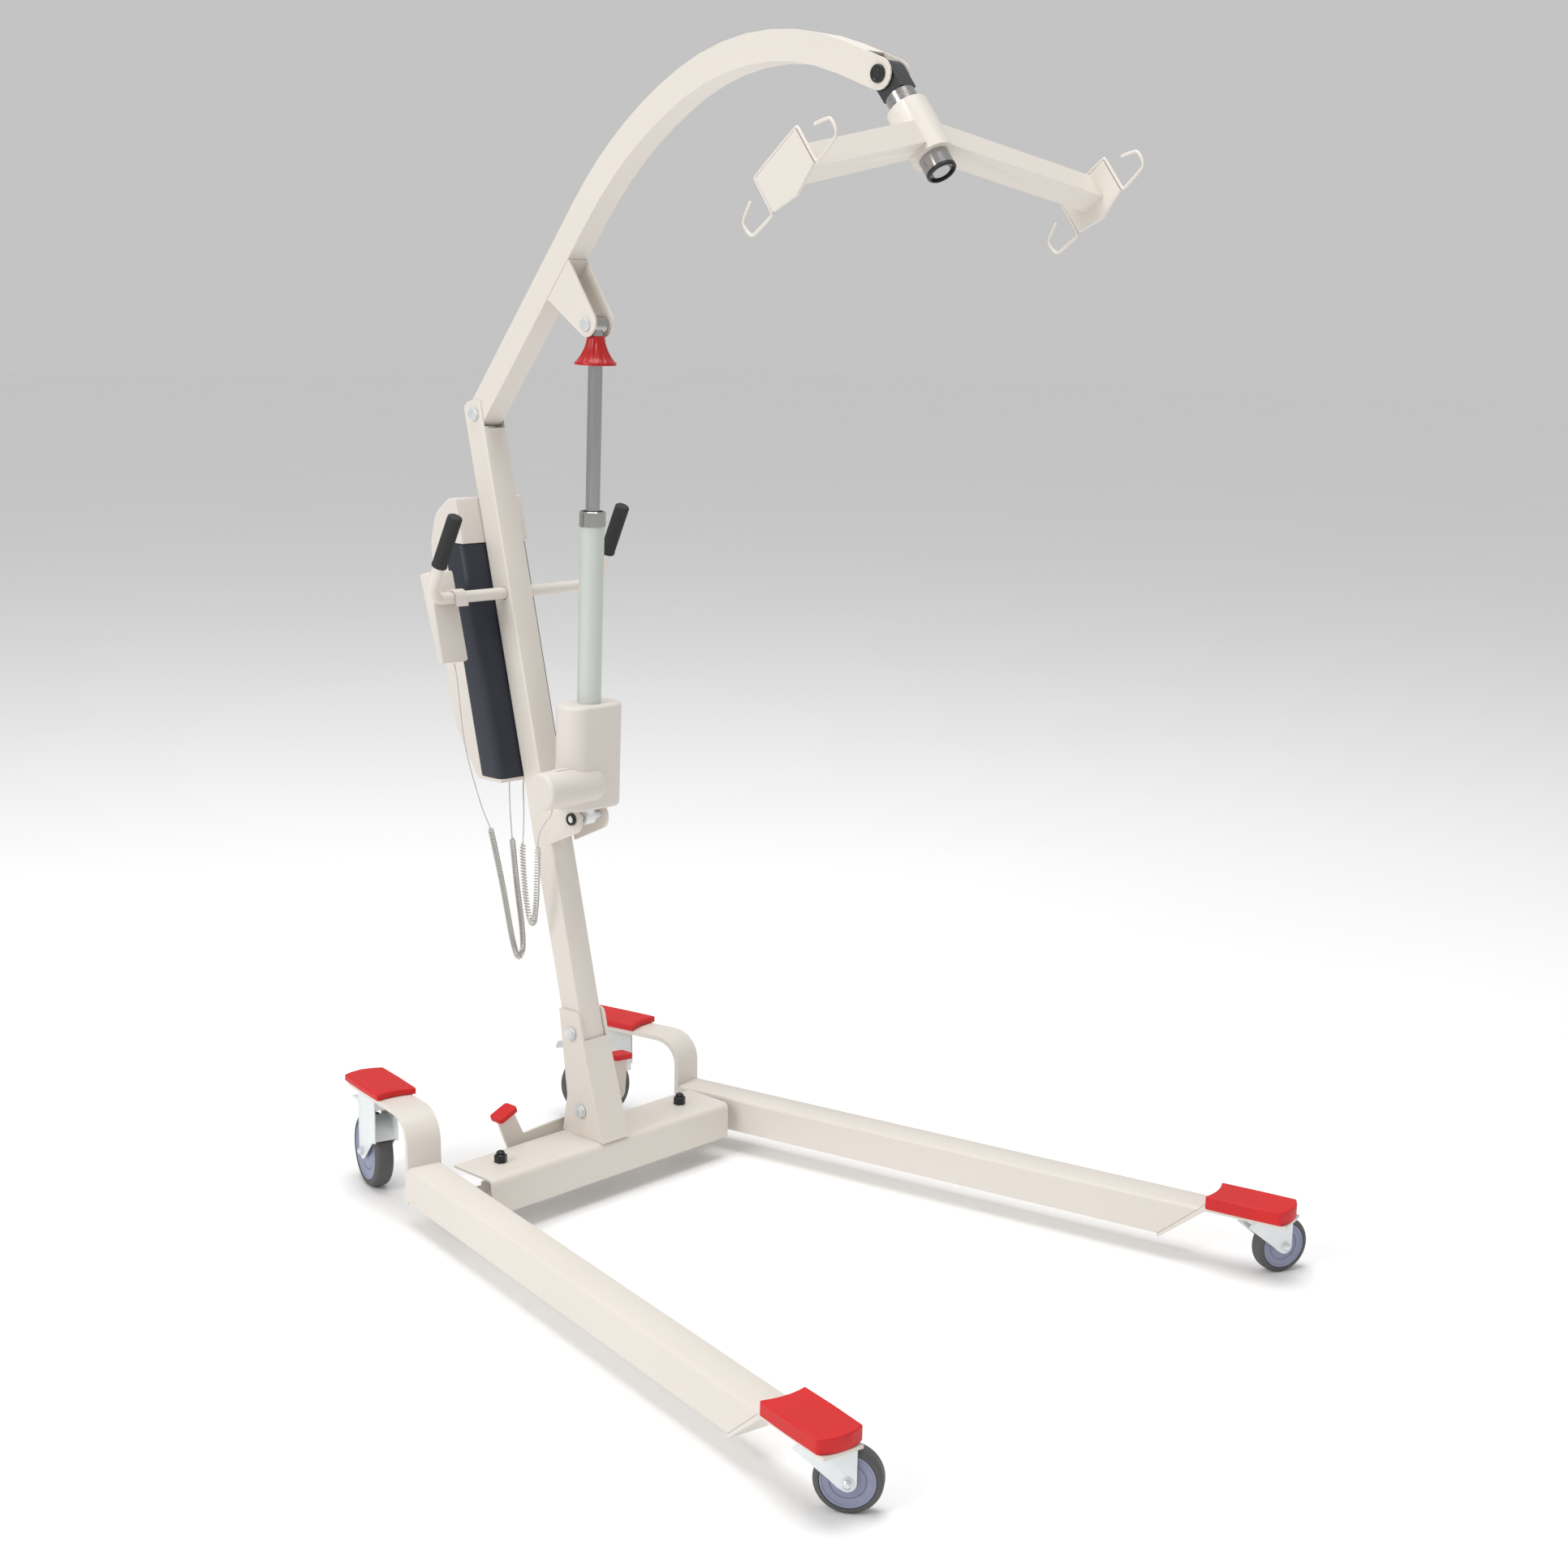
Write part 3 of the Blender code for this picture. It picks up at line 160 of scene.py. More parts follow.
def finish(name, colour, rough, metal=0.0, mottle=0.04, mottle_size=0.10, grain=0.00008,
           grain_size=0.0015,
           gloss_spread=0.08, stretch=(1, 1, 1), coat=0.0):
    """A Principled material; grain is how high its fine bumps stand, in metres."""
    material = bpy.data.materials.new(name)
    material.use_nodes = True
    link = material.node_tree.links.new
    shader = material.node_tree.nodes["Principled BSDF"]
    shader.inputs["Metallic"].default_value = metal
    shader.inputs["Coat Weight"].default_value = coat
    shader.inputs["Coat Roughness"].default_value = 0.2
    place_on = node_of(material, "ShaderNodeTexCoord")
    mapping = node_of(material, "ShaderNodeMapping")
    mapping.inputs["Scale"].default_value = stretch
    link(place_on.outputs["Object"], mapping.inputs["Vector"])

    slow = node_of(material, "ShaderNodeTexNoise", Scale=1 / mottle_size, Detail=3.0)
    link(mapping.outputs["Vector"], slow.inputs["Vector"])
    shades = node_of(material, "ShaderNodeValToRGB")
    shades.color_ramp.elements[0].position, shades.color_ramp.elements[1].position = 0.3, 0.7
    shades.color_ramp.elements[0].color = (*[c * (1 - mottle) for c in colour], 1)
    shades.color_ramp.elements[1].color = (*[min(1, c * (1 + mottle)) for c in colour], 1)
    link(slow.outputs["Fac"], shades.inputs["Fac"])
    link(shades.outputs["Color"], shader.inputs["Base Color"])

    gloss = node_of(material, "ShaderNodeMapRange")
    gloss.inputs["To Min"].default_value = max(0.02, rough - gloss_spread)
    gloss.inputs["To Max"].default_value = min(1.0, rough + gloss_spread)
    link(slow.outputs["Fac"], gloss.inputs["Value"])
    link(gloss.outputs["Result"], shader.inputs["Roughness"])

    fast = node_of(material, "ShaderNodeTexNoise", Scale=1 / grain_size, Detail=2.0)
    link(mapping.outputs["Vector"], fast.inputs["Vector"])
    bump = node_of(material, "ShaderNodeBump", Strength=0.5, Distance=grain)
    link(fast.outputs["Fac"], bump.inputs["Height"])
    link(bump.outputs["Normal"], shader.inputs["Normal"])
    return material


# %% [markdown]
# ## The finishes of this lift
#
# Powder coat is smooth with a faint orange peel. The box, the motor housing and the hand control are
# moulded, so they are duller and finer. The pads are soft red rubber. The plated steel is streaked
# where it was rolled, so its noise is stretched.

# %% Finishes
LOOKS = {
    "frame_paint": finish("cream_powder_coat", srgb(221, 214, 205), 0.42, mottle=0.015, mottle_size=0.25,
                          grain=0.00006, grain_size=0.002, coat=0.1),
    "shell_plastic": finish("cream_moulded_plastic", srgb(217, 210, 203), 0.5, mottle=0.012,
                            mottle_size=0.2,
                            grain=0.00008, grain_size=0.0008),
    "pad_red": finish("red_rubber", srgb(204, 12, 14), 0.55, mottle=0.05, grain=0.0001,
                      grain_size=0.0008),
    "bell_red": finish("red_plastic", srgb(178, 10, 12), 0.32, mottle=0.05, grain=0.00003,
                       grain_size=0.002),
    "battery_navy": finish("navy_plastic", srgb(33, 38, 50), 0.48, mottle=0.08, grain=0.0001,
                           grain_size=0.0008),
    "grip_black": finish("grip_rubber", srgb(38, 38, 38), 0.75, mottle=0.25, mottle_size=0.004,
                         grain=0.0005,
                         grain_size=0.0016),
    "button_navy": finish("navy_key", srgb(48, 56, 84), 0.45, grain_size=0.0006),
    "button_black": finish("black_key", srgb(34, 34, 36), 0.45, grain_size=0.0006),
    "wheel_grey": finish("tyre_rubber", srgb(82, 82, 82), 0.62, mottle=0.08, mottle_size=0.03,
                         grain=0.0001,
                         grain_size=0.0012),
    "zinc": finish("bright_zinc", srgb(222, 226, 228), 0.34, metal=0.55, mottle=0.05, mottle_size=0.03,
                   grain=0.00003, grain_size=0.003, stretch=(1, 1, 0.25)),
    "bolt_black": finish("black_oxide", srgb(40, 41, 43), 0.35, metal=0.4, mottle=0.12, mottle_size=0.01,
                         grain=0.00005),
    "pin_black": finish("black_cap", srgb(32, 32, 34), 0.4, mottle=0.1, mottle_size=0.01, grain=0.00004),
    "block_black": finish("black_moulded_block", srgb(48, 50, 53), 0.42, mottle=0.08, mottle_size=0.02),
    "tube_grey": finish("pale_anodised", srgb(200, 205, 199), 0.38, metal=0.15, mottle=0.015,
                        mottle_size=0.05,
                        grain=0.00002, grain_size=0.004, stretch=(4, 4, 0.3)),
    "chrome": finish("polished_rod", srgb(178, 177, 175), 0.2, metal=1.0, mottle=0.03, mottle_size=0.02,
                     grain=0.00001, grain_size=0.004, gloss_spread=0.05, stretch=(3, 3, 0.3)),
    "cord_grey": finish("cord_sheath", srgb(196, 193, 188), 0.5, mottle=0.05, mottle_size=0.02,
                        grain=0.00003,
                        grain_size=0.001),
}
HUB_BLUE = finish("hub_plastic", srgb(140, 143, 168), 0.45, mottle=0.05, mottle_size=0.02,
                  grain_size=0.0008)
FORK_WHITE = finish("white_zinc", srgb(228, 232, 233), 0.36, metal=0.25, mottle=0.03, mottle_size=0.04,
                    grain=0.00003, grain_size=0.002)
KNUCKLE_WHITE = finish("white_nylon", srgb(232, 234, 236), 0.4, mottle=0.02, grain_size=0.0008)
SLOTS = {part["node"]: part["material_slot"] for part in frame["record"]["subparts"]}
print("finishes", len(LOOKS) + 3)

# %% [markdown]
# ## Cords
#
# A curly cord is a straight cord wound round a rod while it is hot. Its route here is a line of
# given points, first a plain lead, then the coil, then a plain tail, smoothed by a
# Catmull-Rom curve. Along the coil the cord runs round that line in a helix. The helix needs a pair
# of directions square to the line that never flips, so each pair is carried on from the last.

# %% The cord's line
CORD_RADIUS, COIL_RADIUS = 0.0011, 0.0053
STEPS_PER_TURN = 14


def smooth_route(corners, per_span):
    """A Catmull-Rom curve through a route's own points."""
    corners = [place(*corner) for corner in corners]
    padded = [2 * corners[0] - corners[1], *corners, 2 * corners[-1] - corners[-2]]
    points = []
    for a, b, c, d in zip(padded, padded[1:], padded[2:], padded[3:]):
        for k in range(per_span):
            t = k / per_span
            points.append(0.5 * (2 * b + (c - a) * t + (2 * a - 5 * b + 4 * c - d) * t * t
                                 + (3 * b - a - 3 * c + d) * t ** 3))
    return points + [corners[-1]]


def length_of(points):
    return sum((b - a).length for a, b in zip(points, points[1:]))


def evenly(points, count):
    """The same line as count + 1 points the same distance apart."""
    step = length_of(points) / count
    spaced, gone = [points[0]], 0.0
    for a, b in zip(points, points[1:]):
        long = (b - a).length
        while len(spaced) <= count and gone + long >= step * len(spaced) - 1e-9:
            spaced.append(a.lerp(b, (step * len(spaced) - gone) / long))
        gone += long
    return spaced


# %% The coil
def wound(route, pitch):
    """A helix round a route, which grows out of the line over its first turn and back into it."""
    line = smooth_route(route, 24)
    turns = ceil(length_of(line) / pitch)
    line = evenly(line, turns * STEPS_PER_TURN)
    radius = COIL_RADIUS - CORD_RADIUS
    side = Vector((1, 0, 0))
    points = []
    for k, here in enumerate(line):
        along = (line[min(k + 1, len(line) - 1)] - line[max(k - 1, 0)]).normalized()
        side = (side - along * side.dot(along)).normalized()
        share = min(1, k / STEPS_PER_TURN, (len(line) - 1 - k) / STEPS_PER_TURN)
        turn = 2 * pi * k / STEPS_PER_TURN
        points.append(here + (side * cos(turn) + along.cross(side) * sin(turn)) * radius * share)
    print("coil of", turns, "turns")
    return points


# %% A cord from its three stretches
def curly_cord(name, first, coil, last, pitch, nodes):
    """A curve along a plain lead, the helix and the other plain lead, riding on the frame."""
    points = [*smooth_route(first, 8)[:-1], *wound(coil, pitch), *smooth_route(last, 8)[1:]]
    curve = bpy.data.curves.new(name, "CURVE")
    curve.dimensions, curve.bevel_depth = "3D", CORD_RADIUS
    curve.bevel_resolution, curve.use_fill_caps = 2, True
    spline = curve.splines.new("POLY")
    spline.points.add(len(points) - 1)
    for point, spot in zip(spline.points, points):
        point.co = (*spot, 1)
    spline.use_smooth = True
    curve.materials.append(LOOKS["cord_grey"])
    cord = bpy.data.objects.new(name, curve)
    bpy.context.scene.collection.objects.link(cord)
    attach(cord, "frame")
    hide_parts(*nodes)
    print(name, round(length_of(points), 2), "m")
    return cord


# %% The two cords
PENDANT_PITCH, ACTUATOR_PITCH = 0.0034, 0.0050
PENDANT_LEAD = ((-0.1365, 0.0877, 0.8908), (-0.133, 0.084, 0.860), (-0.114, 0.090, 0.752),
                (-0.090, 0.082, 0.655), (-0.0740, 0.0756, 0.6085))
PENDANT_COIL = ((-0.0738, 0.0755, 0.6080), (-0.066, 0.074, 0.575), (-0.049, 0.072, 0.497),
                (-0.033, 0.070, 0.414), (-0.020, 0.070, 0.376), (-0.0085, 0.071, 0.385),
                (-0.0095, 0.071, 0.425), (-0.020, 0.072, 0.505), (-0.0285, 0.073, 0.584))
PENDANT_TAIL = ((-0.0286, 0.0730, 0.5845), (-0.031, 0.074, 0.622), (-0.032, 0.075, 0.660),
                (-0.032, 0.075, 0.6865))
ACTUATOR_TAIL = ((0.000, 0.075, 0.6865), (-0.006, 0.070, 0.668), (-0.022, 0.050, 0.625),
                 (-0.037, 0.035, 0.5845))
ACTUATOR_COIL = ((-0.0372, 0.0348, 0.5840), (-0.043, 0.028, 0.555), (-0.048, 0.016, 0.500),
                 (-0.051, 0.004, 0.468), (-0.054, -0.007, 0.457), (-0.058, -0.018, 0.464),
                 (-0.062, -0.028, 0.500), (-0.065, -0.034, 0.550), (-0.066, -0.037, 0.595))
ACTUATOR_LEAD = ((-0.0660, -0.0370, 0.5955), (-0.067, -0.043, 0.618), (-0.0705, -0.062, 0.640),
                 (-0.0745, -0.080, 0.655), (-0.075, -0.085, 0.6738))

curly_cord("pendant_cord", PENDANT_LEAD, PENDANT_COIL, PENDANT_TAIL, PENDANT_PITCH,
           ("pendant_cord_lead", "pendant_cord_coil", "pendant_cord_tail"))
curly_cord("actuator_cord", ACTUATOR_TAIL, ACTUATOR_COIL, ACTUATOR_LEAD, ACTUATOR_PITCH,
           ("actuator_cord_lead", "actuator_cord_coil", "actuator_cord_tail"))

# %% [markdown]
# ## Helpers that turn a bmesh into a piece
#
# Every new piece goes the same way: shape it, put it in its place, close it, and let it ride on the
# body it belongs to. Its object stays at the origin, and its place is in its mesh.

# %% Finishing a piece
def shaded(mesh, angle=32):
    mesh.shade_smooth()
    mesh.set_sharp_from_angle(angle=radians(angle))


def body_of(node):
    return NODES[node]["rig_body"]


def piece(name, bm, matrix, body, slot, stands_for=(), material=None, recalculate=True):
    """Put the shape in place as an object that rides on a body, in the finish of a slot."""
    bmesh.ops.transform(bm, matrix=matrix, verts=bm.verts)
    bmesh.ops.remove_doubles(bm, verts=bm.verts, dist=0.00001)
    if recalculate:
        bmesh.ops.recalc_face_normals(bm, faces=bm.faces)
    mesh = bpy.data.meshes.new(name)
    bm.to_mesh(mesh)
    bm.free()
    shaded(mesh)
    obj = bpy.data.objects.new(name, mesh)
    bpy.context.scene.collection.objects.link(obj)
    mesh.materials.append(material or LOOKS[slot])
    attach(obj, body)
    if stands_for:
        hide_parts(*stands_for)
    return obj


def spun(profile, steps=64):
    """Turn a (radius, height) profile about Z."""
    bm = bmesh.new()
    verts = [bm.verts.new((radius, 0, height)) for radius, height in profile]
    edges = [bm.edges.new(pair) for pair in zip(verts, verts[1:])]
    bmesh.ops.spin(bm, geom=verts + edges, cent=(0, 0, 0), axis=(0, 0, 1), angle=2 * pi, steps=steps,
                   use_merge=True)
    return bm


def slab(outline, low, high):
    """A flat outline in X and Y, raised from low to high."""
    bm = bmesh.new()
    face = bm.faces.new([bm.verts.new((x, y, low)) for x, y in outline])
    raised = bmesh.ops.extrude_face_region(bm, geom=[face])["geom"]
    up = [item for item in raised if isinstance(item, bmesh.types.BMVert)]
    bmesh.ops.translate(bm, vec=(0, 0, high - low), verts=up)
    return bm


def bevelled(bm, edges, offset, segments=3):
    bmesh.ops.bevel(bm, geom=edges, offset=offset, segments=segments, profile=0.5, affect="EDGES",
                    material=-1, clamp_overlap=True)
    return bm


def arc(x, y, radius, start, end, count=8):
    """Points along an arc, angles in degrees."""
    turns = [radians(start + (end - start) * k / count) for k in range(count + 1)]
    return [(x + radius * cos(t), y + radius * sin(t)) for t in turns]


# %% [markdown]
# ## Softer edges on the steelwork
#
# Bent sheet and welded tube have no knife edges: the paint alone rounds them by a millimetre, and
# that thin highlight is what makes steel look like steel. A copy of each frame part is merged into
# one skin, its flat faces are cleaned of their triangles, and a Bevel modifier rounds what is left.

# %% A copy with rounded edges
def softened(node, width, segments=2, angle=30, material=None):
    """A merged copy of a frame node with its edges rounded, standing for that node."""
    bm = bmesh.new()
    bm.from_mesh(NODES[node].data)
    bmesh.ops.remove_doubles(bm, verts=bm.verts, dist=0.00002)
    bmesh.ops.dissolve_limit(bm, angle_limit=radians(1), verts=bm.verts, edges=bm.edges)
    obj = piece(node + "_finished", bm, Matrix.Identity(4), body_of(node), SLOTS[node], (node,),
                material,
                recalculate=False)
    if width:
        bevel = obj.modifiers.new("Bevel", "BEVEL")
        bevel.width, bevel.segments = width, segments
        bevel.limit_method, bevel.angle_limit = "ANGLE", radians(angle)
        bevel.harden_normals = True
    return obj


STEEL = {"crossbeam": 0.0010, "mast_socket": 0.0010, "mast": 0.0012, "lower_bracket": 0.0010,
         "boom": 0.0014,
         "boom_bracket": 0.0008, "spreader_bar": 0.0012, "leg_left": 0.0012, "leg_right": 0.0012,
         "caster_plate_left": 0.0010, "caster_plate_right": 0.0010, "pedal_rocker": 0.0008}
for node, width in STEEL.items():
    softened(node, width)
print("steel parts", len(STEEL))

# %% Pads, shells and small parts
CORNERS = ("front_left", "front_right", "rear_left", "rear_right")
SMALL = {"front_cap_left": 0.0006, "front_cap_right": 0.0006, "rear_cap_left": 0.0006,
         "rear_cap_right": 0.0006,
         "pedal_pad_left": 0.0008, "pedal_pad_right": 0.0008, "control_box": 0.0020, "pendant": 0.0008,
         "swivel_block": 0.0012, "leg_bolt_left": 0.0006, "leg_bolt_right": 0.0006,
         "socket_bolt_upper": 0.0006,
         "socket_bolt_lower": 0.0006, "tie_rod_left": 0.0, "tie_rod_right": 0.0,
         "rear_left_brake": 0.0006,
         "rear_right_brake": 0.0006, "upper_pin": 0.0, "button_up": 0.0008, "button_down": 0.0008}
for node, width in SMALL.items():
    softened(node, width, 3)
for corner in CORNERS:
    softened(corner + "_fork", 0.0006, 2, 30, FORK_WHITE)
print("small parts", len(SMALL) + 4)

# %% [markdown]
# ## Bars that bend
#
# The handle bar and the sling hooks are round bars with few sides. Their triangles are joined back
# into four-sided faces, and a Subdivision Surface makes the bends flow.

# %% Handle bar and hooks
def flowing(node, levels=2):
    bm = bmesh.new()
    bm.from_mesh(NODES[node].data)
    bmesh.ops.remove_doubles(bm, verts=bm.verts, dist=0.00002)
    bmesh.ops.join_triangles(bm, faces=bm.faces, angle_face_threshold=radians(40),
                             angle_shape_threshold=radians(40))
    obj = piece(node + "_finished", bm, Matrix.Identity(4), body_of(node), SLOTS[node], (node,),
                recalculate=False)
    subdivision = obj.modifiers.new("Subdivision", "SUBSURF")
    subdivision.levels = subdivision.render_levels = levels
    return obj


for node in ("handle_bar", "hook_wire_left", "hook_wire_right"):
    flowing(node)
print("bars that bend", 3)

# %% [markdown]
# ## Actuator
#
# A lift's actuator is a moulded housing with a motor lying across it, a long outer tube and a rod
# that slides out of it. All of them are round about one line, from the lower pin to the upper pin.

# %% Tube, collar and rod
TUBE_FOOT, TUBE_TOP, COLLAR_FOOT = 0.1913, 0.502, 0.477
TUBE_RADIUS, TUBE_BORE, COLLAR_RADIUS, ROD_RADIUS = 0.0195, 0.0182, 0.0215, 0.0116
ROD_END = 0.370

tube = [(TUBE_BORE, TUBE_FOOT), (TUBE_RADIUS, TUBE_FOOT), (TUBE_RADIUS, COLLAR_FOOT),
        (TUBE_BORE, COLLAR_FOOT),
        (TUBE_BORE, TUBE_FOOT)]
piece("actuator_tube_finished", spun(tube, 72), ACTUATOR, "actuator_tube", "tube_grey",
      ("actuator_tube",))
collar = [(TUBE_BORE - 0.0002, COLLAR_FOOT + 0.0002), (COLLAR_RADIUS - 0.0006, COLLAR_FOOT + 0.0002),
          (COLLAR_RADIUS, COLLAR_FOOT + 0.001), (COLLAR_RADIUS, TUBE_TOP - 0.001),
          (COLLAR_RADIUS - 0.001, TUBE_TOP), (TUBE_BORE - 0.0002, TUBE_TOP),
          (TUBE_BORE - 0.0002, COLLAR_FOOT + 0.0002)]
piece("actuator_collar", spun(collar, 72), ACTUATOR, "actuator_tube", "chrome")
ACTUATOR_LONG = (UPPER_PIN - LOWER_PIN).length
rod = [(0, ROD_END), (ROD_RADIUS, ROD_END), (ROD_RADIUS, ACTUATOR_LONG - 0.006),
       (0, ACTUATOR_LONG - 0.006)]
piece("actuator_rod_finished", spun(rod, 64), ACTUATOR, "actuator_rod", "chrome", ("actuator_rod",))
EYE = ACTUATOR @ Matrix.Translation((0, 0, ACTUATOR_LONG)) @ Matrix.Rotation(pi / 2, 4, "Y")
eye = [(0.0064, -0.013), (0.0125, -0.013), (0.0135, -0.012), (0.0135, 0.012), (0.0125, 0.013),
       (0.0064, 0.013),
       (0.0064, -0.013)]
piece("rod_eye", spun(eye, 48), EYE, "actuator_rod", "chrome")
print("the tube stands", round(TUBE_TOP - TUBE_FOOT, 3), "m out of its housing")

# %% [markdown]
# The bell under the boom lowers a person when there is no power. It is moulded with flutes for the
# fingers, so its turned shape is pushed in and out twelve times on the way round.

# %% Lowering bell
FLUTES = 12
BELL = ACTUATOR @ Matrix.Translation((0, 0, ACTUATOR_LONG))
bell = [(0.0119, -0.0173), (0.0138, -0.0173), (0.0144, -0.0205), (0.0152, -0.026), (0.0168, -0.032),
        (0.0192, -0.038), (0.0222, -0.044), (0.0258, -0.050), (0.0300, -0.0555), (0.0330, -0.0585),
        (0.0334, -0.0600), (0.0334, -0.0618), (0.0328, -0.0623), (0.0300, -0.0623), (0.0280, -0.0575),
        (0.0235, -0.050), (0.0185, -0.042), (0.0125, -0.036), (0.0119, -0.0173)]
bm = spun(bell, 144)
for vert in bm.verts:
    height = (-0.0585 - vert.co.z) / (-0.0585 + 0.0205)
    fade = max(0.0, 1 - abs(2 * height - 1) ** 3) if 0 <= height <= 1 else 0.0
    wave = cos(FLUTES * atan2(vert.co.y, vert.co.x))
    vert.co.xy *= 1 - 0.09 * fade * (0.5 - 0.5 * wave) ** 2
piece("lowering_bell_finished", bm, BELL, "actuator_rod", "bell_red", ("lowering_bell",))
print("the bell has", FLUTES, "flutes")

# %% [markdown]
# The housing is two moulded halves, pill-shaped from above, with soft rims. The motor lies across its
# front as a cylinder. Its inner end is a dome, so it melts into the housing's front, and a low rib on
# top marks where its two halves meet.

# %% Gear housing
HOUSING_HALF_X, HOUSING_HALF_Y, HOUSING_CORNER = 0.0575, 0.033, 0.029
HOUSING_FOOT, HOUSING_TOP = 0.0175, 0.191


def round_box(half_x, half_y, corner, count=8):
    """The outline of a rectangle with round corners."""
    x, y = half_x - corner, half_y - corner
    return [*arc(x, y, corner, 0, 90, count), *arc(-x, y, corner, 90, 180, count),
            *arc(-x, -y, corner, 180, 270, count), *arc(x, -y, corner, 270, 360, count)]


bm = slab(round_box(HOUSING_HALF_X, HOUSING_HALF_Y, HOUSING_CORNER), HOUSING_FOOT, HOUSING_TOP)
rims = [edge for edge in bm.edges if abs(edge.verts[0].co.z - edge.verts[1].co.z) < 1e-6]
bevelled(bm, rims, 0.0065, 5)
piece("actuator_housing_finished", bm, ACTUATOR, "actuator_tube", "shell_plastic",
      ("actuator_housing",))
print("housing", round(HOUSING_TOP - HOUSING_FOOT, 3), "m high")

# %% Motor across the housing
MOTOR_RADIUS, MOTOR_LONG = 0.031, 0.115
MOTOR = ACTUATOR @ Matrix.Translation((0, -0.0145, 0.0594)) @ Matrix.Rotation(-pi / 2, 4, "Y")
dome = [(MOTOR_RADIUS * cos(k * pi / 24), 0.010 - 0.028 * sin(k * pi / 24)) for k in range(12)]
front = [(MOTOR_RADIUS - 0.007 + x, MOTOR_LONG - 0.007 + y) for x, y in arc(0, 0, 0.007, 90, 0, 6)]
piece("motor_shell", spun([(0, MOTOR_LONG), *front, *dome, (0, -0.018)], 72), MOTOR, "actuator_tube",
      "shell_plastic")
bm = slab(round_box(0.021, 0.0055, 0.003, 4), 0, 0.0022)
bevelled(bm, [edge for edge in bm.edges if min(v.co.z for v in edge.verts) > 0.001], 0.0008, 2)
RIB = ACTUATOR @ Matrix.Translation((-0.066, -0.0145, 0.0594 + MOTOR_RADIUS - 0.0009))
piece("motor_rib", bm, RIB, "actuator_tube", "shell_plastic")
print("motor", MOTOR_LONG, "m long")

# %% [markdown]
# A white nylon knuckle holds the housing on the lower pin. It is a short neck and an eye that lies
# across it.

# %% Knuckle on the lower pin
neck = [(0, 0.0185), (0.0118, 0.0185), (0.0118, 0.004), (0, 0.004)]
piece("knuckle_neck", spun(neck, 40), ACTUATOR, "actuator_tube", "shell_plastic", material=KNUCKLE_WHITE)
LYING = ACTUATOR @ Matrix.Rotation(pi / 2, 4, "Y")
knuckle = [(0.0064, -0.0105), (0.0118, -0.0105), (0.0125, -0.0098), (0.0125, 0.0098), (0.0118, 0.0105),
           (0.0064, 0.0105), (0.0064, -0.0105)]
piece("knuckle_eye", spun(knuckle, 48), LYING, "actuator_tube", "shell_plastic",
      material=KNUCKLE_WHITE)
print("knuckle done")

# %% [markdown]
# ## Wheels
#
# Each wheel is a grey tyre on a blue-grey hub. Both are profiles spun about the axle. The tyre's
# shoulders are round, and the hub has a raised rim, a ring groove and a boss for the axle.

# %% Profiles of a tyre and a hub
WHEELS = {"front": (0.0452, 0.0130), "rear": (0.0625, 0.0160)}


def tyre_profile(radius, half):
    shoulder = half * 0.55
    inner = radius * 0.80
    rounded = [(radius - shoulder + x, half - shoulder + y) for x, y in arc(0, 0, shoulder, 90, 0, 7)]
    upper = [(inner, half * 0.80), (inner + 0.001, half), *rounded]
    return [*upper, *[(x, -y) for x, y in reversed(upper)], upper[0]]


def hub_profile(radius, half):
    rim = radius * 0.80
    steps = [(0.0044, 0.98), (0.0095, 0.98), (0.0105, 0.86), (rim * 0.62, 0.78), (rim * 0.64, 0.70),
             (rim * 0.66, 0.70), (rim * 0.68, 0.80), (rim * 0.90, 0.86), (rim * 0.93, 0.95), (rim, 0.95)]
    upper = [(x, share * half) for x, share in steps]
    return [*upper, *[(x, -y) for x, y in reversed(upper)], upper[0]]


# %% Four wheels
for corner in CORNERS:
    radius, half = WHEELS[corner.split("_")[0]]
    axle = standing(pivot(corner + "_roll"), axis_of(corner + "_roll"), Vector((0, 0, 1)))
    piece(corner + "_tyre", spun(tyre_profile(radius, half), 96), axle, corner + "_wheel", "wheel_grey",
          (corner + "_wheel",))
    piece(corner + "_hub", spun(hub_profile(radius - 0.0002, half), 96), axle, corner + "_wheel",
          "wheel_grey",
          material=HUB_BLUE)
    for side in (-1, 1):
        nut = spun([(0, 0.0078), (0.0035, 0.0072), (0.0062, 0.0045), (0.0062, 0.0012), (0.0085, 0.0010),
                    (0.0085, 0), (0, 0)], 32)
        facing = Matrix.Rotation(0 if side > 0 else pi, 4, "X")
        outside = Matrix.Translation((0, 0, side * (half + 0.0046))) @ facing
        word = "out" if side > 0 else "in"
        piece(f"{corner}_axle_nut_{word}", nut, axle @ outside, corner + "_fork", "zinc")
print("wheels done")

# %% [markdown]
# ## Fork plates
#
# A caster's fork is pressed from one sheet. In front its two cheeks taper from the full width under
# the cap to the axle. Behind, the cheeks are joined by a hood that follows the tyre, so a heel
# doesn't catch the wheel. Both are drawn in the wheel's own plane, along the trail and up.

# %% The plane of a fork
def trail_of(corner):
    """The level step from a caster's swivel axis to its axle."""
    step = pivot(corner + "_roll") - pivot(corner + "_swivel")
    step.z = 0
    return step


def fork_plane(corner, lateral):
    """Local X runs along the trail, local Y up, and Z across the wheel, from the axle's middle."""
    along, up = trail_of(corner).normalized(), Vector((0, 0, 1))
    turn = Matrix((along, up, along.cross(up))).transposed().to_4x4()
    return Matrix.Translation(pivot(corner + "_roll")) @ turn @ Matrix.Translation((0, 0, lateral))


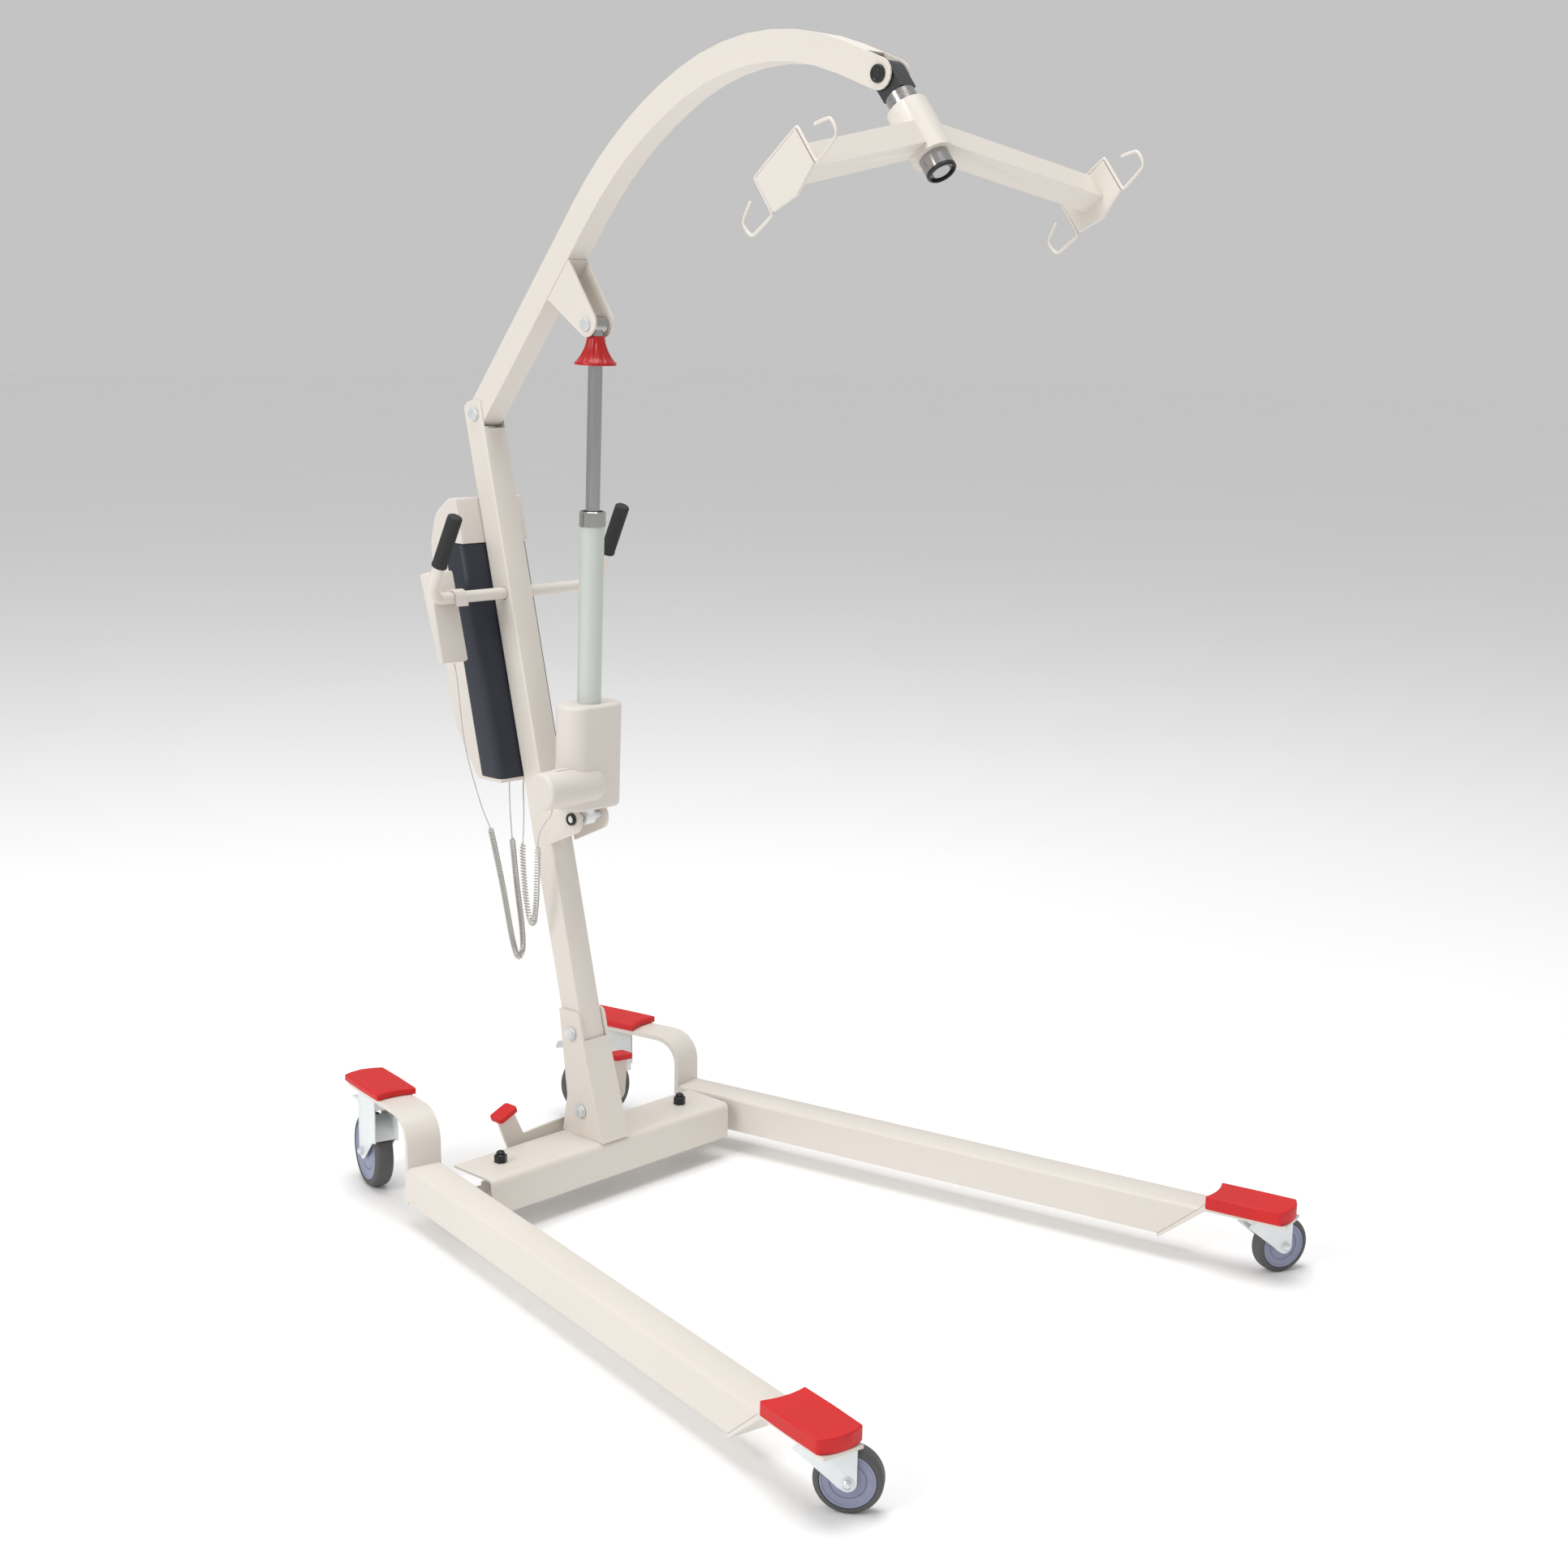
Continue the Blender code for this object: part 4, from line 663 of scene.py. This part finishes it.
# %% Cheeks and hoods
HOOD_OUTER, HOOD_INNER = 0.0690, 0.0668
CHEEKS = {"front": (0.0160, 0.0480, 0.012), "rear": (0.0195, 0.1110, 0.014)}
for corner in CORNERS:
    offset, top, round_end = CHEEKS[corner.split("_")[0]]
    trail = trail_of(corner).length
    for word, side in (("outer", -1), ("inner", 1)):
        if corner.startswith("front"):
            outline = [*arc(0, 0, round_end, 235, 360, 8), (round_end, top - 0.004),
                       (round_end - 0.004, top),
                       (-trail - 0.022, top), (-trail - 0.030, top - 0.008)]
        else:
            outline = [*arc(0, 0, round_end, 225, 360, 8), (round_end + 0.004, top),
                       (-trail - 0.030, top),
                       (-0.067, 0.034), (-0.052, 0.030)]
        bm = slab(outline, -0.00125, 0.00125)
        bevelled(bm, list(bm.edges), 0.0005, 2)
        piece(f"{corner}_cheek_{word}", bm, fork_plane(corner, side * offset), corner + "_fork", "zinc",
              material=FORK_WHITE)
    if corner.startswith("rear"):
        outer = [(-HOOD_OUTER * cos(radians(a)), HOOD_OUTER * sin(radians(a))) for a in range(30, 76, 5)]
        inner = [(-HOOD_INNER * cos(radians(a)), HOOD_INNER * sin(radians(a))) for a in range(75, 29,
                                                                                              -5)]
        piece(corner + "_hood", slab(outer + inner, -offset, offset), fork_plane(corner, 0),
              corner + "_fork",
              "zinc", material=FORK_WHITE)
print("forks done")

# %% [markdown]
# ## Grips
#
# Each grip is a sleeve of grained rubber pushed over the rising end of the handle bar. It is turned
# about that end's line, with a rounded top and a small collar at its foot.

# %% Grips
BAR_BEND, BAR_TIP = Vector((0.182, 0.096, 0.9965)), Vector((0.179, 0.027, 1.1363))
GRIP_START, GRIP_RADIUS, BAR_RADIUS = 0.408, 0.0125, 0.0108

for word, side in (("right", -1), ("left", 1)):
    foot, tip = (BAR_BEND.lerp(BAR_TIP, share) for share in (GRIP_START, 1))
    foot, tip = (place(side * point.x, point.y, point.z) for point in (foot, tip))
    long = (tip - foot).length
    profile = [(BAR_RADIUS, 0), (GRIP_RADIUS, 0), (GRIP_RADIUS + 0.0004, 0.0012),
               (GRIP_RADIUS + 0.0004, 0.004),
               (GRIP_RADIUS - 0.0002, 0.0052), (GRIP_RADIUS - 0.0002, long - 0.004),
               *[(GRIP_RADIUS - 0.0042 + x, long - 0.004 + y) for x, y in arc(0, 0, 0.004, 0, 90, 5)],
               (0, long)]
    piece("grip_" + word + "_sleeve", spun(profile, 56), standing(foot, tip - foot), "frame",
          "grip_black",
          ("grip_" + word,))
    print("grip", word, round(long, 3), "m long")

# %% [markdown]
# ## Battery
#
# The battery hangs behind the mast in the control box. It is a moulded case with generous corners,
# so it starts as a cube. The corners and the two ends are bevelled, and then each level of the case
# is set back by the mast's lean. Its sides lie flush with the box.

# %% Battery
BATTERY_FOOT, BATTERY_TOP, BATTERY_HALF = 0.693, 1.076, 0.0702
BATTERY_DEEP, BATTERY_MIDDLE = 0.0600, 0.0310
MAST_SLOPE, MAST_REAR, SOCKET_TOP = 0.2488, -0.0587, 0.258


def behind_mast(x, depth, z):
    """A point at a depth behind the mast's rear face, which leans back as it rises."""
    return place(x, MAST_REAR + (z - SOCKET_TOP) * MAST_SLOPE + depth, z)


bm = bmesh.new()
bmesh.ops.create_cube(bm, size=1)
bmesh.ops.scale(bm, vec=(2 * BATTERY_HALF, BATTERY_DEEP, BATTERY_TOP - BATTERY_FOOT), verts=bm.verts)
upright_edges = [edge for edge in bm.edges if abs(edge.verts[0].co.z - edge.verts[1].co.z) > 0.1]
bevelled(bm, upright_edges, 0.014, 6)
ends = [edge for edge in bm.edges if abs(edge.verts[0].co.z - edge.verts[1].co.z) < 1e-6]
bevelled(bm, ends, 0.004, 3)
for vert in bm.verts:
    z = (BATTERY_FOOT + BATTERY_TOP) / 2 + vert.co.z
    vert.co = behind_mast(vert.co.x, BATTERY_MIDDLE + vert.co.y, z)
piece("battery_case", bm, Matrix.Identity(4), "frame", "battery_navy", ("battery",))
print("battery", round(BATTERY_TOP - BATTERY_FOOT, 3), "m high")

# %% [markdown]
# ## Spreader post
#
# The spreader bar turns on a plated post. A collar shows above its boss, and a cup with a black rim
# and a pale centre shows below it.

# %% Spreader post
BOSS_TOP, BOSS_BOTTOM, POST_RADIUS, PLATED_RADIUS = 0.060, 0.143, 0.012, 0.0215
post = [(0, -0.0366), (PLATED_RADIUS - 0.001, -0.0366), (PLATED_RADIUS, -0.0376),
        (PLATED_RADIUS, -0.0475),
        (PLATED_RADIUS - 0.0006, -0.048), (PLATED_RADIUS - 0.0006, -0.0488), (PLATED_RADIUS, -0.0492),
        (PLATED_RADIUS, 0.0003 - BOSS_TOP), (POST_RADIUS, 0.0003 - BOSS_TOP),
        (POST_RADIUS, -BOSS_BOTTOM - 0.0003),
        (PLATED_RADIUS, -BOSS_BOTTOM - 0.0003), (PLATED_RADIUS, -0.1655), (0.0175, -0.1655),
        (0.0165, -0.1650),
        (0, -0.1650)]
piece("swivel_post_finished", spun(post, 72), HANGER, "hanger", "chrome", ("swivel_post",))
rim = [(0.0178, -0.1657), (PLATED_RADIUS, -0.1657), (PLATED_RADIUS, -0.1690), (0.0195, -0.1710),
       (0.0182, -0.1710), (0.0178, -0.1700), (0.0178, -0.1657)]
piece("post_rim", spun(rim, 72), HANGER, "hanger", "pin_black")
disc = [(0, -0.1682), (0.0125, -0.1682), (0.0140, -0.1670), (0.0140, -0.1652), (0, -0.1652)]
piece("post_centre", spun(disc, 56), HANGER, "hanger", "chrome")
print("post done")

# %% [markdown]
# ## Bolt heads and pin heads
#
# The pins across the mast, the boom and the actuator end in round caps or hexagons. A hexagon is a
# six-sided cone with its rim bevelled.

# %% Hexagons and where heads go
def hexagon(across_corners, thick):
    bm = bmesh.new()
    bmesh.ops.create_cone(bm, cap_ends=True, segments=6, radius1=across_corners, radius2=across_corners,
                          depth=thick)
    bmesh.ops.translate(bm, vec=(0, 0, thick / 2), verts=bm.verts)
    tops = [edge for edge in bm.edges if min(v.co.z for v in edge.verts) > thick - 1e-5]
    return bevelled(bm, tops, 0.0012, 3)


def outward(centre, side, reach):
    """A placing matrix on a pin along X, at a distance from its middle and facing out."""
    return Matrix.Translation(centre + Vector((side * reach, 0, 0))) @ Matrix.Rotation(side * pi / 2, 4,
                                                                                       "Y")


# %% Heads of the three pins
BOOM_BOLT, TIP = pivot("boom_lift"), pivot("hanger_swing")
BOLT_REACH, LOWER_REACH, TIP_REACH = 0.0243, 0.0323, 0.021
for word, side in (("right", -1), ("left", 1)):
    piece("boom_bolt_head_" + word, hexagon(0.0112, 0.0065), outward(BOOM_BOLT, side, BOLT_REACH),
          "frame", "zinc",
          ("boom_bolt",))
    ring = [(0.0062, 0), (0.0100, 0), (0.0100, 0.0048), (0.0092, 0.0056), (0.0070, 0.0056),
            (0.0062, 0.0048),
            (0.0062, 0)]
    piece("lower_pin_ring_" + word, spun(ring, 40), outward(LOWER_PIN, side, LOWER_REACH), "frame",
          "pin_black",
          ("lower_pin",))
    centre = [(0, 0.0046), (0.0048, 0.0044), (0.0060, 0.0036), (0.0060, -0.020), (0, -0.020)]
    piece("lower_pin_centre_" + word, spun(centre, 40), outward(LOWER_PIN, side, LOWER_REACH), "frame",
          "zinc",
          material=KNUCKLE_WHITE)
    cap = [(0, 0.0042), (0.0050, 0.0042), (0.0062, 0.0030), (0.0078, 0.0030), (0.0090, 0.0042),
           (0.0112, 0.0042),
           (0.0122, 0.0034), (0.0125, 0.0024), (0.0125, 0.0003), (0, 0.0003)]
    piece("tip_bolt_cap_" + word, spun(cap, 48), outward(TIP, side, TIP_REACH), "boom", "pin_black",
          ("swivel_pin",))


# %% [markdown]
# The two bolts of the mast socket and the two nuts on the crossbeam are already there as plain
# blocks. Washers and bevelled heads go on the bolts, and a low dome goes on each nut.

# %% Socket bolts and leg nuts
def reach_of(node):
    """The middle of a node's box and half its size."""
    points = [NODES[node].matrix_world @ vert.co for vert in NODES[node].data.vertices]
    low = Vector([min(point[k] for point in points) for k in range(3)])
    high = Vector([max(point[k] for point in points) for k in range(3)])
    return (low + high) / 2, (high - low) / 2


for node in ("socket_bolt_upper", "socket_bolt_lower"):
    centre, half = reach_of(node)
    for word, side in (("right", -1), ("left", 1)):
        washer = spun([(0, 0.0014), (0.0108, 0.0014), (0.0114, 0.0008), (0.0114, 0), (0, 0)], 40)
        seat = outward(centre, side, half.x - 0.0052)
        piece(f"{node}_washer_{word}", washer, seat, "frame", "zinc")
        piece(f"{node}_head_{word}", hexagon(0.0094, 0.0060), seat @ Matrix.Translation((0, 0, 0.0010)),
              "frame",
              "zinc")
for word in ("left", "right"):
    centre, half = reach_of("leg_bolt_" + word)
    top = Matrix.Translation(centre + Vector((0, 0, half.z - 0.001)))
    dome = [(0, 0.0045), (0.0030, 0.0042), (0.0055, 0.0030), (0.0070, 0.0010), (0.0070, 0), (0, 0)]
    piece(f"leg_nut_dome_{word}", spun(dome, 40), top, body_of("leg_bolt_" + word), "bolt_black")
print("heads done")

# %% [markdown]
# ## Room and light
#
# A pale floor and a pale backdrop keep the eye on the lift. A large soft light stands on its
# right, a second one hangs overhead, and the world adds an even glow, so the front faces fall darkest.

# %% Floor and lights
FLOOR = finish("floor_white", (0.99, 0.99, 0.99), 0.9, mottle=0.005, mottle_size=1.0, grain=0.0)
bm = bmesh.new()
bmesh.ops.create_grid(bm, x_segments=1, y_segments=1, size=40)
floor_mesh = bpy.data.meshes.new("floor")
bm.to_mesh(floor_mesh)
bm.free()
floor_mesh.materials.append(FLOOR)
floor = bpy.data.objects.new("floor", floor_mesh)
bpy.context.scene.collection.objects.link(floor)


def area_light(name, spot, target, size, power):
    light = bpy.data.lights.new(name, "AREA")
    light.shape, light.size, light.energy = "DISK", size, power
    lamp = bpy.data.objects.new(name, light)
    lamp.location = spot
    lamp.rotation_euler = (Vector(target) - Vector(spot)).to_track_quat("-Z", "Y").to_euler()
    bpy.context.scene.collection.objects.link(lamp)


area_light("key", (-5.0, 0.5, 3.5), (0, 0, 0.8), 2.5, 110)
area_light("top", (0, 0.3, 6.0), (0, 0, 0), 4.0, 200)

# %% World
world = bpy.data.worlds.new("studio")
world.use_nodes = True
world.node_tree.nodes["Background"].inputs["Color"].default_value = (1, 1, 1, 1)
world.node_tree.nodes["Background"].inputs["Strength"].default_value = 0.55
bpy.context.scene.world = world
bpy.context.scene.view_settings.view_transform = "Standard"
print("floor, two lights and a pale world")
